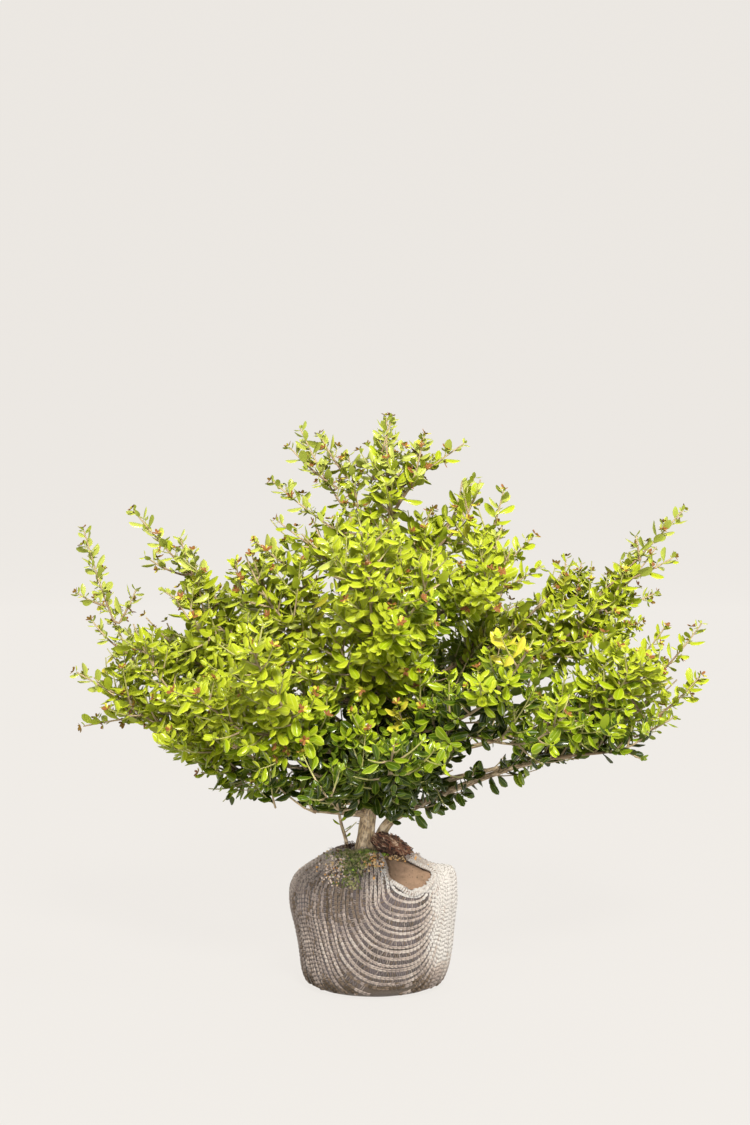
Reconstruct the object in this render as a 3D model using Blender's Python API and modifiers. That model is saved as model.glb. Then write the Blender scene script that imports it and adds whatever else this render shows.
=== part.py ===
"""Japanese holly with convex leaves, a low spreading shrub on its root ball.

The root ball is soil in a knitted wrap that is torn open beside the trunk. The trunk, a second
stem, a sucker and the boughs are tapering limbs. Each mass of foliage is one solid: shoots, side
twigs and leaves that follow a seeded rule and keep to a space of their own.

Metres, +Z up. The origin is the middle of the flat underside of the root ball, +X is to the right
and -Y is towards the viewer. A bearing is in degrees, 0 to the right and 90 to the back.
"""

import math
import random
from dataclasses import dataclass

import bmesh
import bpy
import numpy as np
from mathutils import Matrix, Vector

GAP = 0.0003  # between solids that meet
WELD = 0.00001
UP = Vector((0, 0, 1))
GOLDEN_TURN = math.radians(137.5)

# The root ball
BALL_HEIGHT = 0.150
BALL_PROFILE = (  # radius and height, from the underside to the top
    (0.064, 0.0),
    (0.076, 0.007),
    (0.083, 0.028),
    (0.087, 0.068),
    (0.0905, 0.102),
    (0.0855, 0.124),
    (0.069, 0.1395),
    (0.041, BALL_HEIGHT),
)
BALL_STEPS = 24
WRAP_THICKNESS = 0.003
TEAR = (  # the opening of the wrap, seen from above
    (-0.050, 0.008),
    (-0.028, -0.006),
    (-0.014, -0.020),
    (0.008, -0.024),
    (0.015, -0.044),
    (0.026, -0.066),
    (0.044, -0.078),
    (0.058, -0.066),
    (0.069, -0.040),
    (0.060, -0.010),
    (0.056, 0.026),
    (0.026, 0.046),
    (-0.022, 0.040),
)
CLAY_FACE_AT = Vector((0.042, -0.056, 0.1300))
CLAY_FACE_NORMAL = Vector((0.10, -0.62, 0.78)).normalized()
CLAY_CUTTER_SIZE = (0.09, 0.07, 0.05)
TEAR_CUTTER_MIDDLE = 0.145  # height
TEAR_CUTTER_REACH = 0.045  # above and below that
MULCH_AT = Vector((0.027, -0.012, 0.1545))
MULCH_SIZE = Vector((0.022, 0.016, 0.0165))
MOSS_AT = Vector((-0.022, -0.056, 0.1410))
MOSS_SIZE = Vector((0.016, 0.016, 0.0065))

# The stems
SOIL_TOP = BALL_HEIGHT - WRAP_THICKNESS - GAP
TRUNK_PATH = (  # the foot stands on the soil
    Vector((-0.010, 0.0, SOIL_TOP + GAP)),
    Vector((-0.010, 0.0, 0.157)),
    Vector((-0.007, 0.002, 0.185)),
    Vector((-0.001, 0.002, 0.235)),
    Vector((0.004, 0.000, 0.300)),
    Vector((0.008, -0.002, 0.370)),
    Vector((0.012, 0.000, 0.440)),
    Vector((0.016, 0.000, 0.490)),
)
TRUNK_RADII = (0.0122, 0.0098, 0.0088, 0.0080, 0.0066, 0.0050, 0.0036, 0.0025)
SECOND_STEM_PATH = (  # leans right and becomes the lowest bough there
    Vector((0.0055, 0.0225, SOIL_TOP + GAP)),
    Vector((0.0055, 0.0225, 0.157)),
    Vector((0.014, 0.021, 0.175)),
    Vector((0.032, 0.017, 0.190)),
    Vector((0.070, 0.009, 0.209)),
    Vector((0.112, 0.000, 0.2275)),
    Vector((0.150, -0.008, 0.242)),
    Vector((0.186, -0.012, 0.252)),
)
SECOND_STEM_RADII = (0.0082, 0.0068, 0.0062, 0.0057, 0.0050, 0.0043, 0.0035, 0.0028)
SUCKER_PATH = (
    Vector((-0.031, 0.012, SOIL_TOP + GAP)),
    Vector((-0.031, 0.012, 0.158)),
    Vector((-0.036, 0.011, 0.176)),
    Vector((-0.039, 0.011, 0.190)),
)
SUCKER_RADII = (0.0024, 0.0020, 0.0018, 0.0014)
BOUGH_SHARE = 0.56  # of the radius of what it leaves
BOUGH_TIP_RADIUS = 0.0021
STEMS = {
    "trunk": (TRUNK_PATH, TRUNK_RADII),
    "second_stem": (SECOND_STEM_PATH, SECOND_STEM_RADII),
    "sucker": (SUCKER_PATH, SUCKER_RADII),
}
TRUNK_SIDES, BOUGH_SIDES, TWIG_SIDES = 9, 5, 3
BEND_OUT, BEND_IN = 0.38, 0.34  # shares of a bend's span that keep to its first and last way
LEAVING_SLOPE = 0.62  # of a bough at its fork, against the slope to its tip
ARRIVING_SLOPE = 1.25  # of a shoot at its tip, against the same
ARRIVING_LIFT = 0.22
STEEPEST = math.radians(86)
LIMB_STEPS, BOUGH_STEPS, LEADER_STEPS, SHOOT_STEPS = 20, 3, 4, 3

# The foliage rule
SHOOT_SHORT = 0.038  # that a shoot ends before its tip, for the leaf there
SHOOT_TIP_RADIUS = 0.0011
SHOOT_FORK = 0.16  # share of the leading shoot at which the next one leaves it
SHOOT_LIFT = 0.6  # how much that one turns up
STEM_SHOOT_LIFT = 0.3  # how much a shoot that carries on a stem turns up
TWIG_RADIUS = 0.0015
TWIG_TIP_RADIUS = 0.0009
TWIG_LENGTH = 0.092
TWIG_SHORTENING = 0.5  # of the twigs at a shoot's tip
TWIG_SPACING = 0.058
TWIG_FIRST, TWIG_LAST = 0.020, 0.030  # how far the twigs keep from the two ends of a shoot
TWIG_ANGLE = math.radians(48)
TWIG_LIFT = 0.45  # how much a side twig turns up
TWIG_TRIES = (1.0, 0.72, 0.5)  # lengths at which a twig is tried before it is skipped
TWIG_FREE = 0.3  # share of it from which a twig has to be clear of the limbs
LEAF_LENGTH = 0.045
LEAF_WIDTH = 0.026
LEAF_THICKNESS = 0.0032
LEAF_FULLNESS = 0.62  # the lower, the further out it is widest
LEAF_DROOP = 0.0035  # of its tip
LEAF_SPACING = 0.0208
SHOOT_LEAF_SPACING = 0.0238
LEAF_FIRST = 0.021  # from the foot of a shoot or twig
LEAF_TRIES = (1.0, 0.9, 0.78)  # sizes at which a leaf is tried before it is skipped
LEAF_ANGLE = math.radians(52)
LEAF_SPREAD = 0.7  # of the leaves above and below their twig, against those at its sides
LAST_LEAF_AT = 0.985  # share of the twig
LEAF_SHAKE, FACE_SHAKE, LAST_SHAKE = 0.25, 0.4, 0.2
LEAF_SUNK = 0.0004  # how far past the twig's middle a leaf's foot lies
LEAF_APART = 0.0085  # that the middles of two leaves keep between them
LEAF_MIDDLE = (0.35, 0.6, 0.9)  # shares of its length at which that is tested
LEAF_BREADTHS = ((0.3, 0.6), (0.55, 1.0), (0.8, 0.85), (1.0, 0.65))  # share of length, of width
TO_LIGHT = (0.65, 0.75)  # how far a leaf's face turns outwards, and up
CROWN_UNDERSIDE = 0.166  # height of the lowest leaves beside the trunk
CROWN_RISE = 0.27  # how fast they get higher with the distance from it
SPACE_MARGIN = 0.0012  # that a leaf keeps to its mass's space
LIMB_MARGIN = 0.0045  # that a leaf or twig keeps from a limb


@dataclass(frozen=True)
class Mass:
    """One mass of foliage, where it grows from, and the tips that its two shoots reach."""

    name: str
    fork: float  # height at which its bough leaves the trunk, or 0 if a stem's end carries it
    bare: float  # share of the way to the first tip that is bough
    first_tip: tuple  # bearing, reach from the plant's middle, and height
    second_tip: tuple
    carries_on: str = ""  # the stem whose end it grows from

    def tips(self):
        """The tips of its two shoots."""
        return [around(*self.first_tip), around(*self.second_tip)]


MASSES = (
    Mass("left_low", 0.199, 0.34, (173, 0.312, 0.300), (182, 0.225, 0.250)),
    Mass("left_middle", 0.2235, 0.30, (186, 0.320, 0.355), (194, 0.270, 0.410)),
    Mass("left_outer", 0.250, 0.34, (175, 0.318, 0.502), (167, 0.250, 0.420)),
    Mass("left_upper", 0.301, 0.28, (192, 0.266, 0.527), (200, 0.230, 0.440)),
    Mass("left_under", 0.185, 0.28, (214, 0.200, 0.222), (236, 0.180, 0.250)),
    Mass("shoulder_left", 0.345, 0.22, (212, 0.165, 0.486), (198, 0.140, 0.476)),
    Mass("crest_left", 0.402, 0.22, (165, 0.084, 0.612), (182, 0.108, 0.558)),
    Mass("crest_right", 0.425, 0.22, (18, 0.106, 0.602), (350, 0.120, 0.565)),
    Mass("crest_middle", 0, 0, (300, 0.027, 0.632), (330, 0.062, 0.606), "trunk"),
    Mass("shoulder_right", 0.370, 0.22, (338, 0.158, 0.546), (322, 0.185, 0.490)),
    Mass("right_inner", 0.318, 0.24, (10, 0.226, 0.476), (32, 0.200, 0.510)),
    Mass("right_upper", 0.281, 0.34, (5, 0.342, 0.527), (12, 0.290, 0.440)),
    Mass("right_outer", 0.240, 0.36, (349, 0.364, 0.402), (340, 0.300, 0.372)),
    Mass("right_low", 0.209, 0.40, (6, 0.354, 0.345), (14, 0.300, 0.318)),
    Mass("right_under", 0, 0, (355, 0.302, 0.262), (350, 0.322, 0.306), "second_stem"),
    Mass("front_left", 0.246, 0.24, (244, 0.285, 0.402), (226, 0.262, 0.350)),
    Mass("front_low", 0.213, 0.24, (274, 0.280, 0.302), (256, 0.230, 0.255)),
    Mass("front_right", 0.268, 0.24, (303, 0.285, 0.392), (318, 0.270, 0.322)),
    Mass("front_high", 0.331, 0.22, (268, 0.178, 0.512), (292, 0.165, 0.480)),
    Mass("back_left", 0.265, 0.26, (124, 0.290, 0.420), (142, 0.270, 0.352)),
    Mass("back_low", 0.219, 0.26, (88, 0.284, 0.312), (106, 0.240, 0.270)),
    Mass("back_right", 0.292, 0.26, (56, 0.290, 0.408), (40, 0.280, 0.340)),
    Mass("back_high", 0.356, 0.22, (92, 0.180, 0.522), (70, 0.165, 0.490)),
    Mass("inner_left", 0.232, 0, (232, 0.118, 0.330), (210, 0.110, 0.270)),
    Mass("inner_right", 0.255, 0, (318, 0.125, 0.318), (340, 0.120, 0.262)),
    Mass("inner_back", 0.240, 0, (80, 0.125, 0.336), (40, 0.120, 0.270)),
    Mass("inner_high", 0.312, 0, (284, 0.105, 0.440), (248, 0.110, 0.400)),
)


def short_of(tip, way):
    """Where a shoot that reaches this tip ends, if it arrives along way."""
    return tip - way * SHOOT_SHORT


def around(bearing, reach, height):
    """The point at this bearing and reach from the plant's middle."""
    turn = math.radians(bearing)
    return Vector((reach * math.cos(turn), reach * math.sin(turn), height))


def on_path(path, share):
    """The point this share of the way along a path of even steps, and the way it runs there."""
    place = min(max(share, 0.0), 1.0) * (len(path) - 1)
    step = min(int(place), len(path) - 2)
    return path[step].lerp(path[step + 1], place - step), (path[step + 1] - path[step]).normalized()


def length_of(path):
    """The length of a path."""
    return sum((b - a).length for a, b in zip(path, path[1:]))


def bend(start, out, end, way_in, steps):
    """A smooth path from start, leaving along out, to end, arriving along way_in."""
    reach = (end - start).length
    near, far = start + out * reach * BEND_OUT, end - way_in * reach * BEND_IN
    path = []
    for step in range(steps + 1):
        t = step / steps
        u = 1 - t
        path.append(start * u**3 + near * 3 * u * u * t + far * 3 * u * t * t + end * t**3)
    return path


def trunk_at(height):
    """The middle of the trunk at this height."""
    for low, high in zip(TRUNK_PATH, TRUNK_PATH[1:]):
        if height <= high.z:
            return low.lerp(high, (height - low.z) / (high.z - low.z))
    return TRUNK_PATH[-1].copy()


def whole_limb(mass):
    """The path from a mass's fork to its furthest tip: bough first, then leading shoot."""
    tip = mass.tips()[0]
    start = trunk_at(mass.fork)
    flat = Vector((tip.x - start.x, tip.y - start.y, 0))
    rise = math.atan2(tip.z - start.z, flat.length)
    flat.normalize()
    leaving = rise * LEAVING_SLOPE
    arriving = min(rise * ARRIVING_SLOPE + ARRIVING_LIFT, STEEPEST)
    out = flat * math.cos(leaving) + UP * math.sin(leaving)
    way_in = flat * math.cos(arriving) + UP * math.sin(arriving)
    return bend(start, out, short_of(tip, way_in), way_in, LIMB_STEPS)


def part_of(path, first, last, steps):
    """The stretch of a path between two shares of it."""
    return [on_path(path, first + (last - first) * step / steps)[0] for step in range(steps + 1)]


def shoots_of(mass):
    """The paths of a mass's leading shoot and of the one that leaves it."""
    if mass.carries_on:
        before, end = STEMS[mass.carries_on][0][-2:]
        out = (end - before).normalized()
        tip = mass.tips()[0]
        way_in = ((tip - end).normalized() + UP * STEM_SHOOT_LIFT).normalized()
        leader = bend(end + out * GAP, out, short_of(tip, way_in), way_in, LEADER_STEPS)
    else:
        limb = whole_limb(mass)
        first = mass.bare + GAP / length_of(limb) if mass.bare else 0.0
        leader = part_of(limb, first, 1.0, LEADER_STEPS)
    start, way = on_path(leader, SHOOT_FORK)
    tip = mass.tips()[1]
    out = (way + (tip - start).normalized()).normalized()
    way_in = ((tip - start).normalized() + UP * SHOOT_LIFT).normalized()
    return [leader, bend(start, out, short_of(tip, way_in), way_in, SHOOT_STEPS)]


def bough_of(mass):
    """The path of a mass's bough."""
    return part_of(whole_limb(mass), 0.0, mass.bare, BOUGH_STEPS)


def trunk_radius(height):
    """The radius of the trunk just above this height."""
    return next(radius for point, radius in zip(TRUNK_PATH[1:], TRUNK_RADII) if point.z > height)


def tapering(first, last, count):
    """Radii that taper evenly."""
    return [first + (last - first) * step / (count - 1) for step in range(count)]


def gather_segments(limbs):
    """The straight pieces of many limbs as arrays of starts, ends and largest radii."""
    rows = [
        (*a, *b, max(ra, rb))
        for path, radii in limbs
        for a, b, ra, rb in zip(path, path[1:], radii, radii[1:])
    ]
    table = np.array(rows, float)
    return table[:, :3], table[:, 3:6], table[:, 6]


def distances(points, starts, ends):
    """How far each point is from each straight piece, as a table."""
    along = ends - starts
    from_start = points[:, None, :] - starts[None]
    share = (from_start * along).sum(2) / (along * along).sum(1)
    nearest = from_start - np.clip(share, 0, 1)[..., None] * along
    return np.sqrt((nearest * nearest).sum(2))


class Spaces:
    """The space of each mass: what is nearer to its own shoots than to another mass's."""

    def __init__(self, shoots_by_mass, limbs):
        rows = [
            (*a, *b, number)
            for number, shoots in enumerate(shoots_by_mass)
            for path in shoots
            for a, b in zip(path, path[1:])
        ]
        table = np.array(rows, float)
        self.starts, self.ends, self.owner = table[:, :3], table[:, 3:6], table[:, 6].astype(int)
        self.limb_starts, self.limb_ends, self.limb_radii = gather_segments(limbs)

    def holds(self, number, points, margin):
        """True if all the points lie in this mass's space and clear of the limbs and root ball."""
        places = np.array(points, float)
        table = distances(places, self.starts, self.ends)
        own = table[:, self.owner == number].min(1)
        other = table[:, self.owner != number].min(1)
        lowest = CROWN_UNDERSIDE + CROWN_RISE * np.hypot(places[:, 0], places[:, 1])
        if (other - own < 2 * margin).any() or (places[:, 2] < lowest).any():
            return False
        limbs = distances(places, self.limb_starts, self.limb_ends) - self.limb_radii
        return bool(limbs.min() > LIMB_MARGIN)


def side_ways(way):
    """Two ways square to this one, the first as near to level as can be."""
    level = way.cross(UP)
    level = level.normalized() if level.length > 0.05 else Vector((1, 0, 0))
    return level, level.cross(way).normalized()


def side_twig(chance, path, share, turn, length):
    """The path of a twig that leaves another at this share of it and turn around it."""
    start, way = on_path(path, share)
    level, lifted = side_ways(way)
    side = level * math.cos(turn) + lifted * math.sin(turn)
    angle = TWIG_ANGLE * chance.uniform(0.8, 1.15)
    out = (way * math.cos(angle) + side * math.sin(angle)).normalized()
    end = start + (out + UP * TWIG_LIFT * 0.5).normalized() * length
    return bend(start, out, end, (out + UP * TWIG_LIFT).normalized(), 1)


def shaken(chance, way, amount):
    """This way, turned a little by chance."""
    return (way + Vector([chance.uniform(-amount, amount) for _ in range(3)])).normalized()


def leaf_places(chance, path, spacing):
    """Foot and way of each leaf of a shoot or twig: alternately along it, and one at its tip."""
    places = []
    length = length_of(path)
    turn = chance.uniform(0, math.tau)
    for number in range(max(int((length - LEAF_FIRST) / spacing), 1)):
        foot, way = on_path(path, (LEAF_FIRST + number * spacing) / length)
        level, lifted = side_ways(way)
        turn += math.pi + chance.uniform(-0.5, 0.5)
        side = (level * math.cos(turn) + lifted * LEAF_SPREAD * math.sin(turn)).normalized()
        angle = LEAF_ANGLE * chance.uniform(0.8, 1.2)
        places.append((foot, way * math.cos(angle) + side * math.sin(angle)))
    foot, way = on_path(path, LAST_LEAF_AT)
    places.append((foot, shaken(chance, way, LAST_SHAKE)))
    return places


def leaf_matrix(chance, foot, way, size):
    """Where a leaf lies: its length along way, its face turned outwards and up to the light."""
    outwards = Vector((foot.x, foot.y, 0)).normalized()
    way = shaken(chance, way, LEAF_SHAKE)
    face = shaken(chance, outwards * TO_LIGHT[0] + UP * TO_LIGHT[1], FACE_SHAKE)
    across = way.cross(face).normalized()
    face = across.cross(way).normalized()
    size *= chance.uniform(0.9, 1.1)
    turned = Matrix((across, way, face)).transposed().to_4x4()
    return Matrix.Translation(foot - way * LEAF_SUNK) @ turned @ Matrix.Scale(size, 4)


def leaf_middle(matrix):
    """Points along the middle of a leaf, for testing how near another leaf comes."""
    return [matrix @ Vector((0, along * LEAF_LENGTH, 0)) for along in LEAF_MIDDLE]


def leaf_samples(matrix):
    """Points all over a leaf, for testing where it lies."""
    return [
        matrix @ Vector((side * breadth * LEAF_WIDTH, along * LEAF_LENGTH, 0))
        for along, breadth in LEAF_BREADTHS
        for side in (-0.5, 0.0, 0.5)
    ]


class MassPlan:
    """The limbs (path and radii) and leaf matrices of one mass, worked out by the seeded rule."""

    def __init__(self, number, mass, shoots, spaces):
        self.number = number
        self.spaces = spaces
        self.twig_chance = random.Random(f"{mass.name} twigs 7")
        self.leaf_chance = random.Random(f"{mass.name} leaves 7")
        self.limbs = []
        self.leaves = []
        self.middles = []
        for shoot, foot_radius in zip(shoots, (BOUGH_TIP_RADIUS, TWIG_RADIUS)):
            self.limbs.append((shoot, tapering(foot_radius, SHOOT_TIP_RADIUS, len(shoot))))
            twigs = self.side_twigs(shoot)
            self.set_leaves(shoot, SHOOT_LEAF_SPACING)
            for twig in twigs:
                self.limbs.append((twig, tapering(TWIG_RADIUS, TWIG_TIP_RADIUS, len(twig))))
                self.set_leaves(twig, LEAF_SPACING)

    def side_twigs(self, shoot):
        """The twigs of a shoot that stay in the mass's space, some shorter than they would be."""
        twigs = []
        length = length_of(shoot)
        turn = self.twig_chance.uniform(0, math.tau)
        away = TWIG_FIRST
        while away < length - TWIG_LAST:
            turn += GOLDEN_TURN
            share = away / length
            wanted = TWIG_LENGTH * (1 - TWIG_SHORTENING * share)
            wanted *= self.twig_chance.uniform(0.85, 1.15)
            for size in TWIG_TRIES:
                twig = side_twig(self.twig_chance, shoot, share, turn, wanted * size)
                tested = part_of(twig, TWIG_FREE, 1.0, 6)
                if self.spaces.holds(self.number, tested, SPACE_MARGIN + TWIG_RADIUS):
                    twigs.append(twig)
                    break
            away += TWIG_SPACING * self.twig_chance.uniform(0.85, 1.15)
        return twigs

    def set_leaves(self, path, spacing):
        """Sets the leaves of a shoot or twig, each where it is clear of the others."""
        for foot, way in leaf_places(self.leaf_chance, path, spacing):
            for size in LEAF_TRIES:
                matrix = leaf_matrix(self.leaf_chance, foot, way, size)
                middle = leaf_middle(matrix)
                if any((a - b).length < LEAF_APART for a in middle for b in self.middles):
                    continue
                if self.spaces.holds(self.number, leaf_samples(matrix), SPACE_MARGIN):
                    self.leaves.append(matrix)
                    self.middles.extend(middle)
                    break


def new_object(name, data, collection):
    """A new object in this collection."""
    made = bpy.data.objects.new(name, data)
    collection.objects.link(made)
    return made


def new_collection(name):
    """A new collection in the scene."""
    made = bpy.data.collections.new(name)
    bpy.context.scene.collection.children.link(made)
    return made


def remove(objects):
    """Removes these objects from the file."""
    for made in list(objects):
        bpy.data.objects.remove(made)


def material(name, colour, roughness):
    """A plain material."""
    made = bpy.data.materials.new(name)
    made.use_nodes = True
    shader = made.node_tree.nodes["Principled BSDF"]
    shader.inputs["Base Color"].default_value = (*colour, 1.0)
    shader.inputs["Roughness"].default_value = roughness
    shader.inputs["Metallic"].default_value = 0.0
    return made


def applied(made, name, collection):
    """A mesh object with this one's modifiers or curve worked out, in its place."""
    bpy.context.view_layer.update()
    graph = bpy.context.evaluated_depsgraph_get()
    mesh = bpy.data.meshes.new_from_object(made.evaluated_get(graph))
    place = made.matrix_world.copy()
    bpy.data.objects.remove(made)
    shape = bmesh.new()
    shape.from_mesh(mesh)
    bmesh.ops.remove_doubles(shape, verts=shape.verts, dist=WELD)
    bmesh.ops.recalc_face_normals(shape, faces=shape.faces)
    shape.to_mesh(mesh)
    shape.free()
    mesh.name = name
    result = new_object(name, mesh, collection)
    result.matrix_world = place
    return result


def ring(sides, helpers):
    """A closed curve of unit radius, the section of a limb."""
    curve = bpy.data.curves.new(f"section_{sides}", "CURVE")
    spline = curve.splines.new("POLY")
    spline.points.add(sides - 1)
    for number, point in enumerate(spline.points):
        turn = math.tau * number / sides
        point.co = (math.cos(turn), math.sin(turn), 0, 1)
    spline.use_cyclic_u = True
    made = new_object(f"section_{sides}", curve, helpers)
    made.hide_render = True
    return made


def limb(name, path, radii, section, collection, swell=0.0):
    """A tapering limb along a path, as a closed mesh."""
    curve = bpy.data.curves.new(name, "CURVE")
    curve.dimensions = "3D"
    curve.bevel_mode = "OBJECT"
    curve.bevel_object = section
    curve.use_fill_caps = True
    spline = curve.splines.new("POLY")
    spline.points.add(len(path) - 1)
    for point, place, radius in zip(spline.points, path, radii):
        point.co = (*place, 1)
        point.radius = radius + swell
    return applied(new_object(name, curve, collection), name, collection)


def cut(made, cutters, name, collection):
    """This object less the cutters."""
    for cutter in cutters:
        cutter.hide_render = True
        cutter.display_type = "WIRE"
        modifier = made.modifiers.new("cut", "BOOLEAN")
        modifier.operation = "DIFFERENCE"
        modifier.solver = "EXACT"
        modifier.object = cutter
    return applied(made, name, collection)


def leaf_mesh():
    """A blunt leaf of eight faces, arched over a flat underside, its foot at the origin, along +Y."""
    shape = bmesh.new()
    bmesh.ops.create_cone(shape, segments=5, radius1=1, radius2=0, depth=1, cap_ends=True)
    far_side = -math.cos(math.pi / 5)
    for point in shape.verts:
        along = ((1 - point.co.y) / (1 - far_side)) ** LEAF_FULLNESS
        point.co.x *= -LEAF_WIDTH / 2 / math.sin(math.tau / 5)
        point.co.y = along * LEAF_LENGTH
        point.co.z = (point.co.z + 0.5) * LEAF_THICKNESS - LEAF_DROOP * along**2
    bmesh.ops.triangulate(shape, faces=shape.faces)
    mesh = bpy.data.meshes.new("leaf")
    shape.to_mesh(mesh)
    shape.free()
    return mesh


def foliage(mass, plan, section, leaf, trunk_cutter, collection):
    """One mass as a solid: its shoots, twigs and leaves joined, clear of the trunk."""
    fusing = new_collection(f"fusing_{mass.name}")
    stem, *others = [
        limb(f"{mass.name}_twig_{number}", path, radii, section, fusing)
        for number, (path, radii) in enumerate(plan.limbs)
    ]
    for number, matrix in enumerate(plan.leaves):
        new_object(f"{mass.name}_leaf_{number}", leaf, fusing).matrix_world = matrix
    stem = cut(stem, [trunk_cutter], stem.name, collection)
    modifier = stem.modifiers.new("fuse", "BOOLEAN")
    modifier.operation = "UNION"
    modifier.solver = "MANIFOLD"
    modifier.operand_type = "COLLECTION"
    modifier.collection = fusing
    bpy.context.view_layer.update()
    graph = bpy.context.evaluated_depsgraph_get()
    mesh = bpy.data.meshes.new_from_object(stem.evaluated_get(graph))
    mesh.name = f"foliage_{mass.name}"
    mesh.materials.clear()
    made = new_object(mesh.name, mesh, collection)
    bpy.data.objects.remove(stem)
    remove(fusing.objects)
    bpy.data.collections.remove(fusing)
    return made


def swelling(turn, height):
    """How much the root ball's radius is swollen or drawn in at this turn and height."""
    level = height / BALL_HEIGHT
    left_bulge = 0.035 * math.exp(-(((level - 0.62) / 0.25) ** 2)) * max(-math.cos(turn), 0)
    left_waist = -0.02 * math.exp(-(((level - 0.28) / 0.2) ** 2)) * max(-math.cos(turn), 0)
    left_shoulder = -0.06 * math.exp(-(((level - 0.93) / 0.07) ** 2)) * max(-math.cos(turn), 0)
    lumps = 0.014 * math.cos(2 * turn + 0.7) + 0.011 * math.cos(3 * turn - 0.4 + 2.2 * level)
    return 1 + left_bulge + left_waist + left_shoulder + lumps * min(3 * level, 1)


def profile_drawn_in(inset):
    """The profile of the root ball with each point moved in by inset, square to the profile."""
    points = [Vector((0, 0)), *(Vector(point) for point in BALL_PROFILE), Vector((0, BALL_HEIGHT))]
    drawn_in = [points[0] + Vector((0, inset))]
    for before, here, after in zip(points, points[1:], points[2:]):
        way = (after - before).normalized()
        drawn_in.append(here - Vector((way.y, -way.x)) * inset)
    return [*drawn_in, points[-1] - Vector((0, inset))]


def ball(name, inset, collection):
    """The root ball's body, drawn in all round by inset: a turned profile, then its lumps."""
    profile = profile_drawn_in(inset)
    mesh = bpy.data.meshes.new(name)
    points = [(radius, 0, height) for radius, height in reversed(profile)]
    mesh.from_pydata(points, [(n, n + 1) for n in range(len(points) - 1)], [])
    made = new_object(name, mesh, collection)
    screw = made.modifiers.new("turn", "SCREW")
    screw.steps = screw.render_steps = BALL_STEPS
    screw.use_merge_vertices = True
    screw.merge_threshold = WELD
    made = applied(made, name, collection)
    outer_heights = [point.y for point in profile_drawn_in(0)]
    shape = bmesh.new()
    shape.from_mesh(made.data)
    for point in shape.verts:
        ring_number = min(range(len(profile)), key=lambda n: abs(profile[n].y - point.co.z))
        swollen = swelling(math.atan2(point.co.y, point.co.x), outer_heights[ring_number])
        point.co.x *= swollen
        point.co.y *= swollen
    bmesh.ops.triangulate(shape, faces=shape.faces, quad_method="FIXED")  # alike on every shell
    shape.to_mesh(made.data)
    shape.free()
    return made


def tear_cutter(collection):
    """A prism through the top of the root ball, in the outline of the wrap's opening."""
    curve = bpy.data.curves.new("tear", "CURVE")
    curve.dimensions = "2D"
    curve.fill_mode = "BOTH"
    curve.extrude = TEAR_CUTTER_REACH
    spline = curve.splines.new("POLY")
    spline.points.add(len(TEAR) - 1)
    for point, place in zip(spline.points, TEAR):
        point.co = (*place, 0, 1)
    spline.use_cyclic_u = True
    made = new_object("tear", curve, collection)
    made.location.z = TEAR_CUTTER_MIDDLE
    return applied(made, "tear", collection)


def block(name, size, at, normal, collection):
    """A box of this size that stands with its underside at a point, square to a normal."""
    mesh = bpy.data.meshes.new(name)
    shape = bmesh.new()
    bmesh.ops.create_cube(shape, size=1.0)
    bmesh.ops.scale(shape, vec=size, verts=shape.verts)
    bmesh.ops.translate(shape, vec=(0, 0, size[2] / 2), verts=shape.verts)
    shape.to_mesh(mesh)
    shape.free()
    made = new_object(name, mesh, collection)
    made.matrix_world = Matrix.Translation(at) @ normal.to_track_quat("Z", "X").to_matrix().to_4x4()
    return made


def clod(name, at, size, seed, rough, collection):
    """A lumpy clod: a coarse sphere, flattened, with its points moved by chance."""
    chance = random.Random(seed)
    mesh = bpy.data.meshes.new(name)
    shape = bmesh.new()
    bmesh.ops.create_icosphere(shape, subdivisions=2, radius=1.0)
    for point in shape.verts:
        point.co *= 1 + chance.uniform(-rough, rough)
        point.co = Vector([point.co[axis] * size[axis] for axis in range(3)])
    shape.to_mesh(mesh)
    shape.free()
    made = new_object(name, mesh, collection)
    made.location = at
    return made


def root_ball(plant, helpers, stems):
    """The wrap, the soil, the clod of bark mulch and the moss."""
    body = ball("wrap_body", 0.0, helpers)
    hollow = ball("wrap_hollow", WRAP_THICKNESS, helpers)
    wrap = cut(body, [hollow, tear_cutter(helpers)], "root_wrap", plant)
    wrap.data.materials.append(material("knitted_wrap", (0.42, 0.37, 0.31), 0.9))

    face = block("clay_cut", CLAY_CUTTER_SIZE, CLAY_FACE_AT, CLAY_FACE_NORMAL, helpers)
    soil = cut(ball("soil_body", WRAP_THICKNESS + GAP, helpers), [face], "root_soil", plant)
    soil.data.materials.append(material("clay_soil", (0.36, 0.27, 0.19), 0.95))

    swollen_ball = ball("ball_for_cutting", -GAP, helpers)
    swollen_soil = ball("soil_for_cutting", WRAP_THICKNESS, helpers)
    tear = tear_cutter(helpers)
    above = cut(swollen_ball, [tear], "wrap_for_cutting", helpers)
    mulch = clod("mulch_body", MULCH_AT, MULCH_SIZE, 3, 0.13, helpers)
    mulch = cut(mulch, [swollen_soil, above, *stems], "bark_mulch", plant)
    mulch.data.materials.append(material("bark_mulch", (0.20, 0.10, 0.06), 0.9))
    moss = clod("moss_body", MOSS_AT, MOSS_SIZE, 5, 0.12, helpers)
    moss = cut(moss, [ball("ball_under_moss", -GAP, helpers), *stems], "moss", plant)
    moss.data.materials.append(material("moss", (0.10, 0.20, 0.04), 0.95))


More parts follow.
